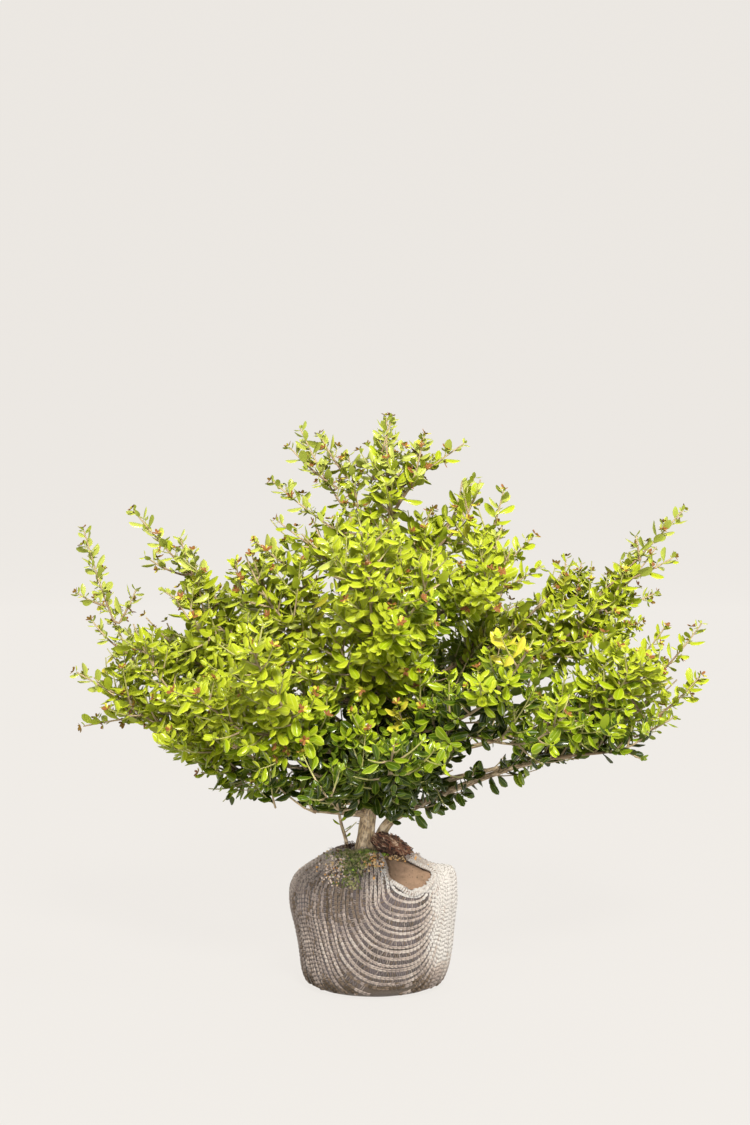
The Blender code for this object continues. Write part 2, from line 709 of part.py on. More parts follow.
def main():
    """Builds the plant."""
    remove(bpy.data.objects)
    plant = new_collection("japanese_holly")
    helpers = new_collection("cutters")
    sections = {sides: ring(sides, helpers) for sides in (TRUNK_SIDES, BOUGH_SIDES, TWIG_SIDES)}
    bark = material("bark", (0.27, 0.20, 0.14), 0.85)
    leaf_green = material("leaf_green", (0.33, 0.48, 0.05), 0.4)

    stem_cutters = []
    for name, (path, radii) in STEMS.items():
        made = limb(name, path, radii, sections[TRUNK_SIDES], plant)
        made.data.materials.append(bark)
        made.data.shade_smooth()
        cutter = limb(f"{name}_swollen", path, radii, sections[TRUNK_SIDES], helpers, GAP)
        stem_cutters.append(cutter)

    boughs = {}
    for mass in MASSES:
        if not mass.bare:
            continue
        path = bough_of(mass)
        radii = tapering(BOUGH_SHARE * trunk_radius(mass.fork), BOUGH_TIP_RADIUS, len(path))
        boughs[mass.name] = (path, radii)
        made = limb(f"bough_{mass.name}_whole", path, radii, sections[BOUGH_SIDES], helpers)
        made = cut(made, stem_cutters[:1], f"bough_{mass.name}", plant)
        made.data.materials.append(bark)
        made.data.shade_smooth()

    root_ball(plant, helpers, stem_cutters)

    shoots = [shoots_of(mass) for mass in MASSES]
    spaces = Spaces(shoots, [*STEMS.values(), *boughs.values()])
    leaf = leaf_mesh()
    for number, mass in enumerate(MASSES):
        plan = MassPlan(number, mass, shoots[number], spaces)
        made = foliage(mass, plan, sections[TWIG_SIDES], leaf, stem_cutters[0], plant)
        made.data.materials.append(leaf_green)

    remove(helpers.objects)


if __name__ == "__main__":
    main()
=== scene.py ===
"""Looks of a japanese holly with convex leaves, on a root ball in a torn knitted wrap.

The stems and boughs get bark in relief, each mass of foliage its twigs, leaves, young tips and
berries, and the root ball its yarn, soil, bark mulch, moss and crumbs.

Metres, +Z up, -Y towards the viewer. A bearing is in degrees, 0 to the right and 90 to the back.
"""

import logging
import math
import random
from collections.abc import Iterable, Sequence
from dataclasses import dataclass, field
from enum import IntEnum

import bmesh
import bpy
import numpy as np
from mathutils import Matrix, Vector, noise


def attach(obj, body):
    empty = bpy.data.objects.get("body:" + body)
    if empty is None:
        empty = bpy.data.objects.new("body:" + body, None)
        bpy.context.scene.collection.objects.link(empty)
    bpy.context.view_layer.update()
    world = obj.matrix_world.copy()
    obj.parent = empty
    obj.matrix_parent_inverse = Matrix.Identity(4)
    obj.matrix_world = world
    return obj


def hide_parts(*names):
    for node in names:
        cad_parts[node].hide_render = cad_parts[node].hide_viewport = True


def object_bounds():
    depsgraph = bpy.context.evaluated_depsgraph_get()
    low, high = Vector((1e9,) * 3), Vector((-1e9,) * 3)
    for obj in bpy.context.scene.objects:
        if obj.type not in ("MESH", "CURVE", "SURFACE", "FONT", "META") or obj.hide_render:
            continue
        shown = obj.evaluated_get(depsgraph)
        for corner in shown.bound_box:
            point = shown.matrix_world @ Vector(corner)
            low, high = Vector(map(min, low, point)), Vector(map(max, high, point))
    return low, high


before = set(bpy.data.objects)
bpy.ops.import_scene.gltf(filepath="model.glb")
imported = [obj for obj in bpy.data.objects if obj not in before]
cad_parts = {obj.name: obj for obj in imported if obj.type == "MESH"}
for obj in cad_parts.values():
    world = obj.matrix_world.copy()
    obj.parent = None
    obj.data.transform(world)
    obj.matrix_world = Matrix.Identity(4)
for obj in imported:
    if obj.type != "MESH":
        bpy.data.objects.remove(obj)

# Types that many functions name

Pair = tuple[float, float]
Triple = tuple[float, float, float]
Line = Sequence[Vector]
Mesh, Material, Object = bpy.types.Mesh, bpy.types.Material, bpy.types.Object
Socket = bpy.types.NodeSocket

# Values of the whole script

CAD_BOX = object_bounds()
UP = Vector((0, 0, 1))
GOLDEN_TURN = math.radians(137.5)
WELD = 0.00001

log = logging.getLogger("japanese_holly")


# Nodes written as Python


class Wire:
    """A number that a node gives, which Python's operators take further."""

    def __init__(self, work: "NodeWork", socket: Socket) -> None:
        """Keeps the socket and the tree that it is in."""
        self.work = work
        self.socket = socket

    def reckoned(self, operation: str, *others: "Wire | float") -> "Wire":
        """This number and others through one Math node."""
        return self.work.maths(operation, self, *others)

    def __add__(self, other: "Wire | float") -> "Wire":
        """Sum."""
        return self.reckoned("ADD", other)

    __radd__ = __add__

    def __mul__(self, other: "Wire | float") -> "Wire":
        """Product."""
        return self.reckoned("MULTIPLY", other)

    __rmul__ = __mul__

    def __sub__(self, other: "Wire | float") -> "Wire":
        """Difference."""
        return self.reckoned("SUBTRACT", other)

    def __rsub__(self, other: "Wire | float") -> "Wire":
        """Difference from a number."""
        return self.work.maths("SUBTRACT", other, self)

    def step(self, low: float, high: float) -> "Wire":
        """0 below low, 1 above high, and smooth between them; the other way round if low > high."""
        ends = {"From Min": min(low, high), "From Max": max(low, high)}
        settings = {"interpolation_type": "SMOOTHSTEP"}
        made = self.work.node("ShaderNodeMapRange", settings, {"Value": self, **ends})
        risen = Wire(self.work, made.outputs["Result"])
        return risen if low < high else 1 - risen


class NodeWork:
    """Writes a node tree, one call for each node."""

    def __init__(self, tree: bpy.types.NodeTree) -> None:
        """Starts with the tree's own nodes removed."""
        self.tree = tree
        tree.nodes.clear()

    def feed(self, socket: Socket, value: object) -> None:
        """Gives a socket a value or a link.

        Args:
            socket: the input.
            value: a Wire or an output socket to link, or a plain value to set.
        """
        if isinstance(value, Wire):
            value = value.socket
        if isinstance(value, Socket):
            self.tree.links.new(value, socket)
        else:
            socket.default_value = value

    def node(self, kind: str, settings: dict | None = None, sockets: dict | None = None) -> bpy.types.Node:
        """Adds a node.

        Args:
            kind: the node's type.
            settings: its own settings, which are set first.
            sockets: values or links of its inputs, by name or number.

        Returns:
            The node.
        """
        made = self.tree.nodes.new(kind)
        for name, value in (settings or {}).items():
            setattr(made, name, value)
        for name, value in (sockets or {}).items():
            self.feed(made.inputs[name], value)
        return made

    def maths(self, operation: str, *values: "Wire | float") -> Wire:
        """One Math node on numbers or wires."""
        made = self.node("ShaderNodeMath", {"operation": operation}, dict(enumerate(values)))
        return Wire(self, made.outputs[0])


class Paint(NodeWork):
    """Writes one material."""

    def __init__(self, name: str) -> None:
        """Starts a material with this name."""
        self.material = bpy.data.materials.new(name)
        self.material.use_nodes = True
        super().__init__(self.material.node_tree)

    def place(self) -> Socket:
        """The point of the surface in the frame that the solids share."""
        return self.node("ShaderNodeTexCoord").outputs["Object"]

    def axes(self) -> list[Wire]:
        """The three coordinates of that point."""
        split = self.node("ShaderNodeSeparateXYZ", sockets={0: self.place()})
        return [Wire(self, socket) for socket in split.outputs]

    def uneven(self, scale: float, detail: float = 3.0, where: object = None, rough: float = 0.5) -> Wire:
        """Noise about 0.5.

        Args:
            scale: how many lumps it has to a metre.
            detail: its finer layers.
            where: the vector it reads, else the surface's own place.
            rough: how strong the finer layers are.

        Returns:
            The noise as a number.
        """
        vector = self.place() if where is None else where
        sockets = {"Vector": vector, "Scale": scale, "Detail": detail, "Roughness": rough}
        return Wire(self, self.node("ShaderNodeTexNoise", {}, sockets).outputs[0])

    def stretched(self, stretch: Sequence[float], uv: str = "") -> Socket:
        """The surface's place, or its UV map, scaled along its axes."""
        where = self.node("ShaderNodeUVMap", {"uv_map": uv}).outputs[0] if uv else self.place()
        made = self.node("ShaderNodeMapping", {}, {"Vector": where, "Scale": tuple(stretch)})
        return made.outputs[0]

    def blended(self, share: Wire, first: object, second: object) -> Socket:
        """A colour between two others, which are triples or sockets."""
        made = self.node("ShaderNodeMix", {"data_type": "RGBA"}, {0: share.reckoned("MAXIMUM", 0.0)})
        made.clamp_factor = True
        for number, colour in ((6, first), (7, second)):
            self.feed(made.inputs[number], (*colour, 1.0) if isinstance(colour, tuple) else colour)
        return made.outputs[2]

    def finished(self, colour: object, roughness: object, **more: object) -> Material:
        """Ends the material in a Principled shader.

        Args:
            colour: triple or socket.
            roughness: number or wire.
            more: values or links of its other sockets, with _ for a space in their names.

        Returns:
            The material.
        """
        shader = self.node("ShaderNodeBsdfPrincipled", {}, {"Roughness": roughness})
        self.feed(shader.inputs["Base Color"], (*colour, 1.0) if isinstance(colour, tuple) else colour)
        for name, value in more.items():
            self.feed(shader.inputs[name.replace("_", " ")], value)
        self.node("ShaderNodeOutputMaterial", {}, {0: shader.outputs[0]})
        return self.material

    def bumped(self, height: Wire, depth: float) -> Socket:
        """A normal for a relief of this height times depth in metres."""
        return self.node("ShaderNodeBump", {}, {"Height": height, "Distance": depth}).outputs[0]


class Geometry(NodeWork):
    """Writes one Geometry Nodes tree and grows pieces with it."""

    def __init__(self, name: str, sizes: dict[str, tuple[str, object]]) -> None:
        """Starts a tree.

        Args:
            name: its name.
            sizes: for each named input its socket type and the value that it has at first.
        """
        tree = bpy.data.node_groups.new(name, "GeometryNodeTree")
        super().__init__(tree)
        tree.interface.new_socket("Geometry", in_out="INPUT", socket_type="NodeSocketGeometry")
        tree.interface.new_socket("Geometry", in_out="OUTPUT", socket_type="NodeSocketGeometry")
        for label, (kind, value) in sizes.items():
            socket = tree.interface.new_socket(label, in_out="INPUT", socket_type=kind)
            if value is not None:
                socket.default_value = value
        self.inputs = self.node("NodeGroupInput").outputs

    def named(self, attribute: str, kind: str) -> Socket:
        """A named attribute of the points, of kind FLOAT, INT or FLOAT_VECTOR."""
        made = self.node("GeometryNodeInputNamedAttribute", {"data_type": kind}, {"Name": attribute})
        return made.outputs["Attribute"]

    def copies(self, points: object, shapes: object, size: object) -> Socket:
        """Copies of a collection's shapes on points, each turned, sized and picked by the points'
        attributes turn, size and shape, and made real.

        Args:
            points: geometry whose points get a copy each.
            shapes: socket with the collection.
            size: what all sizes are multiplied by.

        Returns:
            The geometry.
        """
        settings = {"transform_space": "ORIGINAL"}
        sockets = {"Collection": shapes, "Separate Children": True, "Reset Children": True}
        held = self.node("GeometryNodeCollectionInfo", settings, sockets)
        turned = self.node("FunctionNodeEulerToRotation", {}, {0: self.named("turn", "FLOAT_VECTOR")})
        scaled = self.node("ShaderNodeVectorMath", {"operation": "SCALE"})
        self.feed(scaled.inputs[0], self.named("size", "FLOAT_VECTOR"))
        self.feed(scaled.inputs["Scale"], size)
        sockets = {
            "Points": points,
            "Instance": held.outputs[0],
            "Pick Instance": True,
            "Instance Index": self.named("shape", "INT"),
            "Rotation": turned.outputs[0],
            "Scale": scaled.outputs[0],
        }
        placed = self.node("GeometryNodeInstanceOnPoints", {}, sockets)
        return self.node("GeometryNodeRealizeInstances", {}, {0: placed.outputs[0]}).outputs[0]

    def painted(self, geometry: object, finishes: Sequence[Material], number: object) -> None:
        """Ends the tree: the material of each face is picked by a number, and handed out.

        Args:
            geometry: what is painted.
            finishes: the materials.
            number: socket or wire with the place of the face's material among them.
        """
        for place, finish in enumerate(finishes):
            settings = {"data_type": "INT", "operation": "EQUAL"}
            picked = self.node("FunctionNodeCompare", settings, {2: number, 3: place})
            sockets = {"Geometry": geometry, "Selection": picked.outputs[0], "Material": finish}
            geometry = self.node("GeometryNodeSetMaterial", {}, sockets).outputs[0]
        self.node("NodeGroupOutput", {}, {0: geometry})

    def grown(self, seed: Object, name: str, **sizes: object) -> Object:
        """Runs the tree on an object and keeps the result as a plain mesh.

        Args:
            seed: what it grows on, which is removed.
            name: of the new piece.
            sizes: values of the tree's named inputs, with _ for a space.

        Returns:
            The piece.
        """
        modifier = seed.modifiers.new(self.tree.name, "NODES")
        modifier.node_group = self.tree
        for socket in self.tree.interface.items_tree:
            if socket.in_out == "INPUT" and socket.name.replace(" ", "_") in sizes:
                modifier[socket.identifier] = sizes[socket.name.replace(" ", "_")]
        bpy.context.view_layer.update()
        graph = bpy.context.evaluated_depsgraph_get()
        mesh = bpy.data.meshes.new_from_object(seed.evaluated_get(graph))
        seed.modifiers.remove(modifier)
        bpy.data.objects.remove(seed)
        for attribute in ("turn", "size", "shape", "tint", "side"):
            if attribute in mesh.attributes:
                mesh.attributes.remove(mesh.attributes[attribute])
        return new_piece(name, without_spare_slots(mesh))


# Meshes


def new_piece(name: str, mesh: Mesh) -> Object:
    """An object at the origin that holds this mesh."""
    mesh.name = name
    made = bpy.data.objects.new(name, mesh)
    bpy.context.scene.collection.objects.link(made)
    return made


def without_spare_slots(mesh: Mesh) -> Mesh:
    """Drops the material slots of a mesh that none of its faces uses.

    Args:
        mesh: the mesh, which is changed.

    Returns:
        The same mesh.
    """
    numbers = np.zeros(len(mesh.polygons), np.int32)
    mesh.polygons.foreach_get("material_index", numbers)
    used = sorted(set(numbers.tolist()))
    kept = [mesh.materials[number] for number in used]
    mesh.materials.clear()
    for material in kept:
        mesh.materials.append(material)
    mesh.polygons.foreach_set("material_index", np.searchsorted(used, numbers).astype(np.int32))
    return mesh


def mesh_of(name: str, points: Iterable, faces: Iterable) -> Mesh:
    """A mesh of these points and faces, shaded smooth."""
    mesh = bpy.data.meshes.new(name)
    mesh.from_pydata([tuple(point) for point in points], [], [tuple(face) for face in faces])
    mesh.shade_smooth()
    return mesh


def turned_outwards(mesh: Mesh) -> Mesh:
    """Merges a mesh's doubles and points its faces outwards.

    Args:
        mesh: the mesh, which is changed.

    Returns:
        The same mesh.
    """
    shape = bmesh.new()
    shape.from_mesh(mesh)
    bmesh.ops.remove_doubles(shape, verts=shape.verts, dist=WELD)
    bmesh.ops.recalc_face_normals(shape, faces=shape.faces)
    shape.to_mesh(mesh)
    shape.free()
    return mesh


def mesh_from(shape: bmesh.types.BMesh, name: str, smooth: bool = True) -> Mesh:
    """Turns a bmesh into a mesh.

    Args:
        shape: the bmesh, which is spent.
        name: of the mesh.
        smooth: whether its faces are shaded smooth.

    Returns:
        The mesh.
    """
    mesh = bpy.data.meshes.new(name)
    shape.to_mesh(mesh)
    shape.free()
    if smooth:
        mesh.shade_smooth()
    return mesh


def joined_rings(rings: np.ndarray) -> list[tuple[int, ...]]:
    """The faces of a closed tube: quads between rings, and one fan at each end.

    Args:
        rings: points as rows, rings and coordinates.

    Returns:
        Faces as numbers of points, counted ring by ring, then the middles of the two ends.
    """
    count, sides = rings.shape[:2]
    faces = []
    for row in range(count - 1):
        for side in range(sides):
            near, far = row * sides, (row + 1) * sides
            after = (side + 1) % sides
            faces.append((near + side, near + after, far + after, far + side))
    first, last = count * sides, count * sides + 1
    for side in range(sides):
        after = (side + 1) % sides
        faces.append((after, side, first))
        faces.append(((count - 1) * sides + side, (count - 1) * sides + after, last))
    return faces


def ring_mesh(name: str, rings: np.ndarray, first: Iterable, last: Iterable) -> Mesh:
    """A closed tube through rings, with a fan at each end about its middle."""
    return mesh_of(name, [*rings.reshape(-1, 3), first, last], joined_rings(rings))


def ways_along(line: np.ndarray) -> np.ndarray:
    """The way that a line of points runs at each of them."""
    ways = np.gradient(line, axis=0)
    return ways / np.linalg.norm(ways, axis=1)[:, None]


def smooth_line(points: Sequence, per_span: int, closed: bool = False) -> np.ndarray:
    """A Catmull-Rom line through points.

    Args:
        points: at least two, of any number of coordinates.
        per_span: steps from each point to the next.
        closed: whether it goes on from the last point to the first.

    Returns:
        The line's points, one a row.
    """
    held = np.array([tuple(point) for point in points], float)
    if closed:
        padded = np.vstack([held[-1:], held, held[:2]])
    else:
        padded = np.vstack([2 * held[0] - held[1], held, 2 * held[-1] - held[-2]])
    line = []
    for a, b, c, d in zip(padded, padded[1:], padded[2:], padded[3:]):
        for step in range(per_span):
            t = step / per_span
            bend_of_span = (2 * a - 5 * b + 4 * c - d) * t * t + (3 * b - 3 * c + d - a) * t**3
            line.append((2 * b + (c - a) * t + bend_of_span) / 2)
    if not closed:
        line.append(padded[-2])
    return np.array(line)


def stretched_evenly(line: np.ndarray, step: float) -> np.ndarray:
    """The same line with its points about this far apart."""
    along = np.concatenate([[0.0], np.cumsum(np.linalg.norm(np.diff(line[:, :3], axis=0), axis=1))])
    count = max(int(round(along[-1] / step)), 2)
    wanted = np.linspace(0, along[-1], count + 1)
    return np.stack([np.interp(wanted, along, line[:, axis]) for axis in range(line.shape[1])], axis=1)


def inside_polygon(points: np.ndarray, corners: np.ndarray) -> np.ndarray:
    """Which points of a plane lie inside a polygon of it."""
    after = np.roll(corners, -1, 0)
    rise = after[:, 1] - corners[:, 1]
    rise = np.where(np.abs(rise) < 1e-9, 1e-9, rise)
    x, y = points[:, 0][:, None], points[:, 1][:, None]
    crossed = (corners[:, 1] > y) != (after[:, 1] > y)
    crossed &= x < (after[:, 0] - corners[:, 0]) * (y - corners[:, 1]) / rise + corners[:, 0]
    return crossed.sum(1) % 2 == 1


def points_with(name: str, places: Line, **attributes: tuple[str, list]) -> Object:
    """Loose points that carry attributes, for a tree to grow on.

    Args:
        name: of the object.
        places: the points.
        attributes: for each attribute its type and its values.

    Returns:
        The object.
    """
    mesh = bpy.data.meshes.new(name)
    mesh.from_pydata([tuple(place) for place in places], [], [])
    for label, (kind, values) in attributes.items():
        held = mesh.attributes.new(label, kind, "POINT")
        flat = np.array(values, np.float32 if kind != "INT" else np.int32).ravel()
        held.data.foreach_set("vector" if kind == "FLOAT_VECTOR" else "value", flat)
    return new_piece(name, mesh)


def shape_collection(name: str, meshes: Sequence[Mesh]) -> bpy.types.Collection:
    """A collection outside the scene with one object for each mesh, in this order."""
    made = bpy.data.collections.new(name)
    for number, mesh in enumerate(meshes):
        made.objects.link(bpy.data.objects.new(f"{name}_{number:02d}", mesh))
    return made


def dressed(piece: Object, slot: str, *nodes: str) -> Object:
    """Hands a finished piece over: it rides on the plant's body and stands for nodes.

    Args:
        piece: the piece.
        slot: the record's material slot; not used.
        nodes: the nodes that it replaces.

    Returns:
        The piece.
    """
    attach(piece, "root")
    if nodes:
        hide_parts(*nodes)
    log.info("%s: %d faces, stands for %s", piece.name, len(piece.data.polygons), ", ".join(nodes) or "none")
    return piece


def tube_tree(name: str, finishes: Sequence[Material]) -> Geometry:
    """The tree that makes tubes of strands, and paints each by its points' tint.

    Args:
        name: of the tree.
        finishes: the materials that tint counts.

    Returns:
        The tree.
    """
    tree = Geometry(name, {"Sides": ("NodeSocketInt", 6), "Thickness": ("NodeSocketFloat", 1.0)})
    curves = tree.node("GeometryNodeMeshToCurve", {}, {0: tree.inputs["Geometry"]}).outputs[0]
    radius = Wire(tree, tree.named("radius", "FLOAT")) * Wire(tree, tree.inputs["Thickness"])
    sockets = {"Resolution": tree.inputs["Sides"], "Radius": 1.0}
    ring = tree.node("GeometryNodeCurvePrimitiveCircle", {}, sockets)
    sockets = {"Curve": curves, "Profile Curve": ring.outputs[0], "Scale": radius, "Fill Caps": True}
    tubes = tree.node("GeometryNodeCurveToMesh", {}, sockets).outputs[0]
    made = tree.node("GeometryNodeRealizeInstances", {}, {0: tubes}).outputs[0]
    tree.painted(made, finishes, tree.named("tint", "INT"))
    return tree


def seat_tree(name: str, finishes: Sequence[Material], sides: int = 1) -> Geometry:
    """The tree that puts a collection's shapes on seats, and paints them by their seats' tint.

    Args:
        name: of the tree.
        finishes: the materials that tint counts.
        sides: how many of them each tint has, for the shapes' own attribute side to count.

    Returns:
        The tree.
    """
    tree = Geometry(name, {"Shapes": ("NodeSocketCollection", None), "Size": ("NodeSocketFloat", 1.0)})
    made = tree.copies(tree.inputs["Geometry"], tree.inputs["Shapes"], tree.inputs["Size"])
    number = Wire(tree, tree.named("tint", "INT"))
    if sides > 1:
        number = number * sides + Wire(tree, tree.named("side", "INT"))
    tree.painted(made, finishes, number)
    return tree


# Finishes


@dataclass(frozen=True)
class PlainFinish:
    """A finish of one colour, for small things that are dealt out by colour."""

    name: str
    colour: Triple
    roughness: float
    sheen: float = 0.0

    def material(self) -> Material:
        """Builds the material."""
        return Paint(self.name).finished(self.colour, self.roughness, Sheen_Weight=self.sheen)


class Tint(IntEnum):
    """Colours of leaves, from the oldest to the youngest; the darker ones also stand for painted shade low in
    and inside the crown, and the lighter ones for painted light above and outside.
    """

    DEEP = 0
    DARK = 1
    GREEN = 2
    BRIGHT = 3
    LIME = 4
    PALE = 5
    YELLOW = 6
    BRONZE = 7


@dataclass(frozen=True)
class LeafFinish:
    """The upper side, rib, underside and margin of leaves of one colour; the margin's paler colour is a
    painted highlight, and the rib's is partly its own paler tone and partly a painted highlight.
    """

    tint: Tint
    blade: Triple
    roughness: float
    # the rib's share towards its own paler tone with a painted highlight
    rib_paleness: float = 0.35
    underside_paleness: float = 0.4
    # the margin's share towards a painted highlight
    margin_paleness: float = 0.30

    # the rib's paler tone with a painted highlight, the underside's own paler colour, and the margin's
    # painted highlight
    RIB = (0.50, 0.54, 0.08)
    UNDERSIDE = (0.33, 0.40, 0.045)
    MARGIN = (0.64, 0.65, 0.09)
    GLOSS = 0.14

    def towards(self, other: Triple, share: float) -> Triple:
        """The blade's colour taken this share of the way to another."""
        return tuple(a + (b - a) * share for a, b in zip(self.blade, other))

    def materials(self) -> list[Material]:
        """Builds the materials of blade, rib, underside and margin, with the painted highlights of rib and
        margin.
        """
        label = f"leaf_{self.tint.name.lower()}"
        rib = self.towards(self.RIB, self.rib_paleness)
        under = self.towards(self.UNDERSIDE, self.underside_paleness)
        margin = self.towards(self.MARGIN, self.margin_paleness)
        gloss = {"Coat_Weight": self.GLOSS, "Coat_Roughness": 0.12, "Specular_IOR_Level": 0.18}
        return [
            Paint(label).finished(self.blade, self.roughness, **gloss),
            Paint(f"{label}_rib").finished(rib, self.roughness + 0.1),
            Paint(f"{label}_underside").finished(under, self.roughness + 0.25, Specular_IOR_Level=0.25),
            Paint(f"{label}_margin").finished(margin, self.roughness, **gloss),
        ]


LEAF_FINISHES = (
    LeafFinish(Tint.DEEP, (0.015, 0.029, 0.001), 0.24, 0.08, 0.14, 0.07),
    LeafFinish(Tint.DARK, (0.042, 0.078, 0.002), 0.25, 0.13, 0.20, 0.14),
    LeafFinish(Tint.GREEN, (0.146, 0.215, 0.004), 0.26, 0.25, 0.35, 0.25),
    LeafFinish(Tint.BRIGHT, (0.264, 0.346, 0.005), 0.28, 0.30, 0.35),
    LeafFinish(Tint.LIME, (0.350, 0.410, 0.013), 0.30),
    LeafFinish(Tint.PALE, (0.365, 0.405, 0.070), 0.32),
    LeafFinish(Tint.YELLOW, (0.500, 0.440, 0.035), 0.33),
    LeafFinish(Tint.BRONZE, (0.235, 0.085, 0.022), 0.45, 0.1, 0.2, 0.1),
)


@dataclass(frozen=True)
class BarkFinish:
    """Bark: streaks along the limb, pale patches and dark cracks."""

    name: str = "bark"
    dark: Triple = (0.165, 0.112, 0.070)
    middle: Triple = (0.53, 0.385, 0.220)
    pale: Triple = (0.74, 0.60, 0.41)
    green: Triple = (0.32, 0.29, 0.14)

    def material(self) -> Material:
        """Builds the material, whose pattern follows the limb's UV map in metres."""
        paint = Paint(self.name)
        along = paint.stretched((1.0, 0.16, 1.0), "limb")
        streaks = paint.uneven(900, 4, along)
        patches = paint.uneven(120, 3, paint.stretched((1.0, 0.5, 1.0), "limb"))
        cracks = paint.uneven(1500, 2, paint.stretched((1.0, 0.3, 1.0), "limb"))
        colour = paint.blended(streaks.step(0.38, 0.66), self.dark, self.middle)
        colour = paint.blended(patches.step(0.5, 0.66), colour, self.pale)
        colour = paint.blended(patches.step(0.42, 0.34) * 0.5, colour, self.green)
        height = streaks * 0.7 + cracks * 0.3
        normal = paint.bumped(height, 0.0008)
        return paint.finished(colour, 0.72 + streaks * 0.2, Normal=normal)


@dataclass(frozen=True)
class ClothFinish:
    """The wrap between its stitches: painted dark as the shade between them, with mauve blotches, and pale at
    the ball's right side, where the light has bleached it and light is painted on.
    """

    name: str = "wrap_ground"
    # painted shade between the stitches
    painted_shade: Triple = (0.046, 0.036, 0.031)
    mauve: Triple = (0.088, 0.070, 0.073)
    soil: Triple = (0.10, 0.070, 0.042)
    # the pale colour of the ball's right side: bleached cloth, with painted light
    bleached_and_lit: Triple = (0.33, 0.295, 0.26)
    bleached_and_lit_from: Pair = (0.052, 0.080)

    def material(self) -> Material:
        """Builds the material."""
        paint = Paint(self.name)
        x, _, z = paint.axes()
        blotches = paint.uneven(55, 4)
        threads = paint.uneven(1400, 2)
        # painted shade between the stitches, lighter in mauve blotches
        colour = paint.blended(blotches.step(0.4, 0.62), self.painted_shade, self.mauve)
        # pale towards the ball's right side: bleached, and painted lit
        pale = (x + (blotches - 0.5) * 0.04).step(*self.bleached_and_lit_from)
        colour = paint.blended(pale, colour, self.bleached_and_lit)
        low = (z + (blotches - 0.5) * 0.02).step(0.030, 0.008)
        colour = paint.blended(low * 0.7, colour, self.soil)
        normal = paint.bumped(threads, 0.0006)
        return paint.finished(colour, 0.95, Normal=normal, Sheen_Weight=0.2)


@dataclass(frozen=True)
class SoilFinish:
    """Clay: tan where it is cut smooth, darker and crumbly where it isn't; the darkening from the cut face's
    top edge backwards is partly painted shade along that edge.
    """

    name: str = "clay"
    tan: Triple = (0.310, 0.196, 0.124)
    dull: Triple = (0.245, 0.155, 0.097)
    dark: Triple = (0.10, 0.062, 0.036)

    def material(self) -> Material:
        """Builds the material."""
        paint = Paint(self.name)
        blotches = paint.uneven(130, 5, rough=0.6)
        grains = paint.uneven(1100, 3)
        pits = paint.uneven(420, 2)
        _, y, _ = paint.axes()
        colour = paint.blended(blotches.step(0.36, 0.62), self.dull, self.tan)
        colour = paint.blended(pits.step(0.36, 0.26), colour, self.dark)
        # darker from the cut face's top edge backwards: painted shade along that edge, and the darker crumbly
        # soil behind it
        colour = paint.blended((y + (blotches - 0.5) * 0.02).step(-0.044, -0.032) * 0.6, colour, self.dark)
        height = grains * 0.5 + blotches
        return paint.finished(colour, 0.92, Normal=paint.bumped(height, 0.0012))


@dataclass(frozen=True)
class MulchFinish:
    """Shredded bark: red-brown fibres, with painted shade between them, where their relief is low."""

    name: str = "mulch"
    dark: Triple = (0.012, 0.006, 0.004)
    red: Triple = (0.090, 0.040, 0.022)
    tan: Triple = (0.180, 0.105, 0.060)

    def material(self) -> Material:
        """Builds the material."""
        paint = Paint(self.name)
        fibres = paint.uneven(420, 4, paint.stretched((0.35, 1.0, 1.3)))
        lumps = paint.uneven(160, 3)
        # painted shade in the low parts of the fibres' relief
        colour = paint.blended(fibres.step(0.36, 0.58), self.dark, self.red)
        colour = paint.blended(lumps.step(0.54, 0.68), colour, self.tan)
        return paint.finished(colour, 0.9, Normal=paint.bumped(fibres, 0.0015))


@dataclass(frozen=True)
class MottledFinish:
    """Two colours in blotches, over a fine relief: the rim's cloth, and the ground of the moss."""

    name: str
    dark: Triple
    light: Triple
    lumps: float  # of colour, to a metre
    blend: Pair  # the noise's values where the light colour begins and is full
    grains: float  # of the relief, to a metre
    detail: float
    depth: float
    sheen: float = 0.0

    def material(self) -> Material:
        """Builds the material."""
        paint = Paint(self.name)
        colour = paint.blended(paint.uneven(self.lumps, 4).step(*self.blend), self.dark, self.light)
        normal = paint.bumped(paint.uneven(self.grains, self.detail), self.depth)
        return paint.finished(colour, 0.95, Normal=normal, Sheen_Weight=self.sheen)


RIM_FINISH = MottledFinish(
    "rim_cloth", (0.22, 0.165, 0.12), (0.42, 0.37, 0.32), 90, (0.36, 0.6), 1500, 2, 0.0006, 0.2
)
MOSS_GROUND = MottledFinish(
    "moss_ground", (0.045, 0.060, 0.020), (0.160, 0.170, 0.070), 900, (0.4, 0.65), 900, 4, 0.001
)


@dataclass(frozen=True)
class FloorFinish:
    """The pale studio ground, which glows a little of itself."""

    name: str = "studio_ground"
    colour: Triple = (0.008, 0.0078, 0.0076)
    glow: Triple = (0.822, 0.790, 0.750)

    def material(self) -> Material:
        """Builds the material."""
        paint = Paint(self.name)
        return paint.finished(self.colour, 0.95, Emission_Color=(*self.glow, 1.0), Emission_Strength=1.0)


TWIG_FINISHES = (
    PlainFinish("twig_brown", (0.290, 0.200, 0.115), 0.75),
    PlainFinish("twig_tan", (0.420, 0.320, 0.185), 0.7),
    PlainFinish("twig_green", (0.370, 0.350, 0.115), 0.55),
    PlainFinish("twig_red", (0.280, 0.125, 0.060), 0.55),
)
BERRY_FINISH = PlainFinish("berry", (0.36, 0.42, 0.11), 0.35)


# The growth rule, as the solids follow it


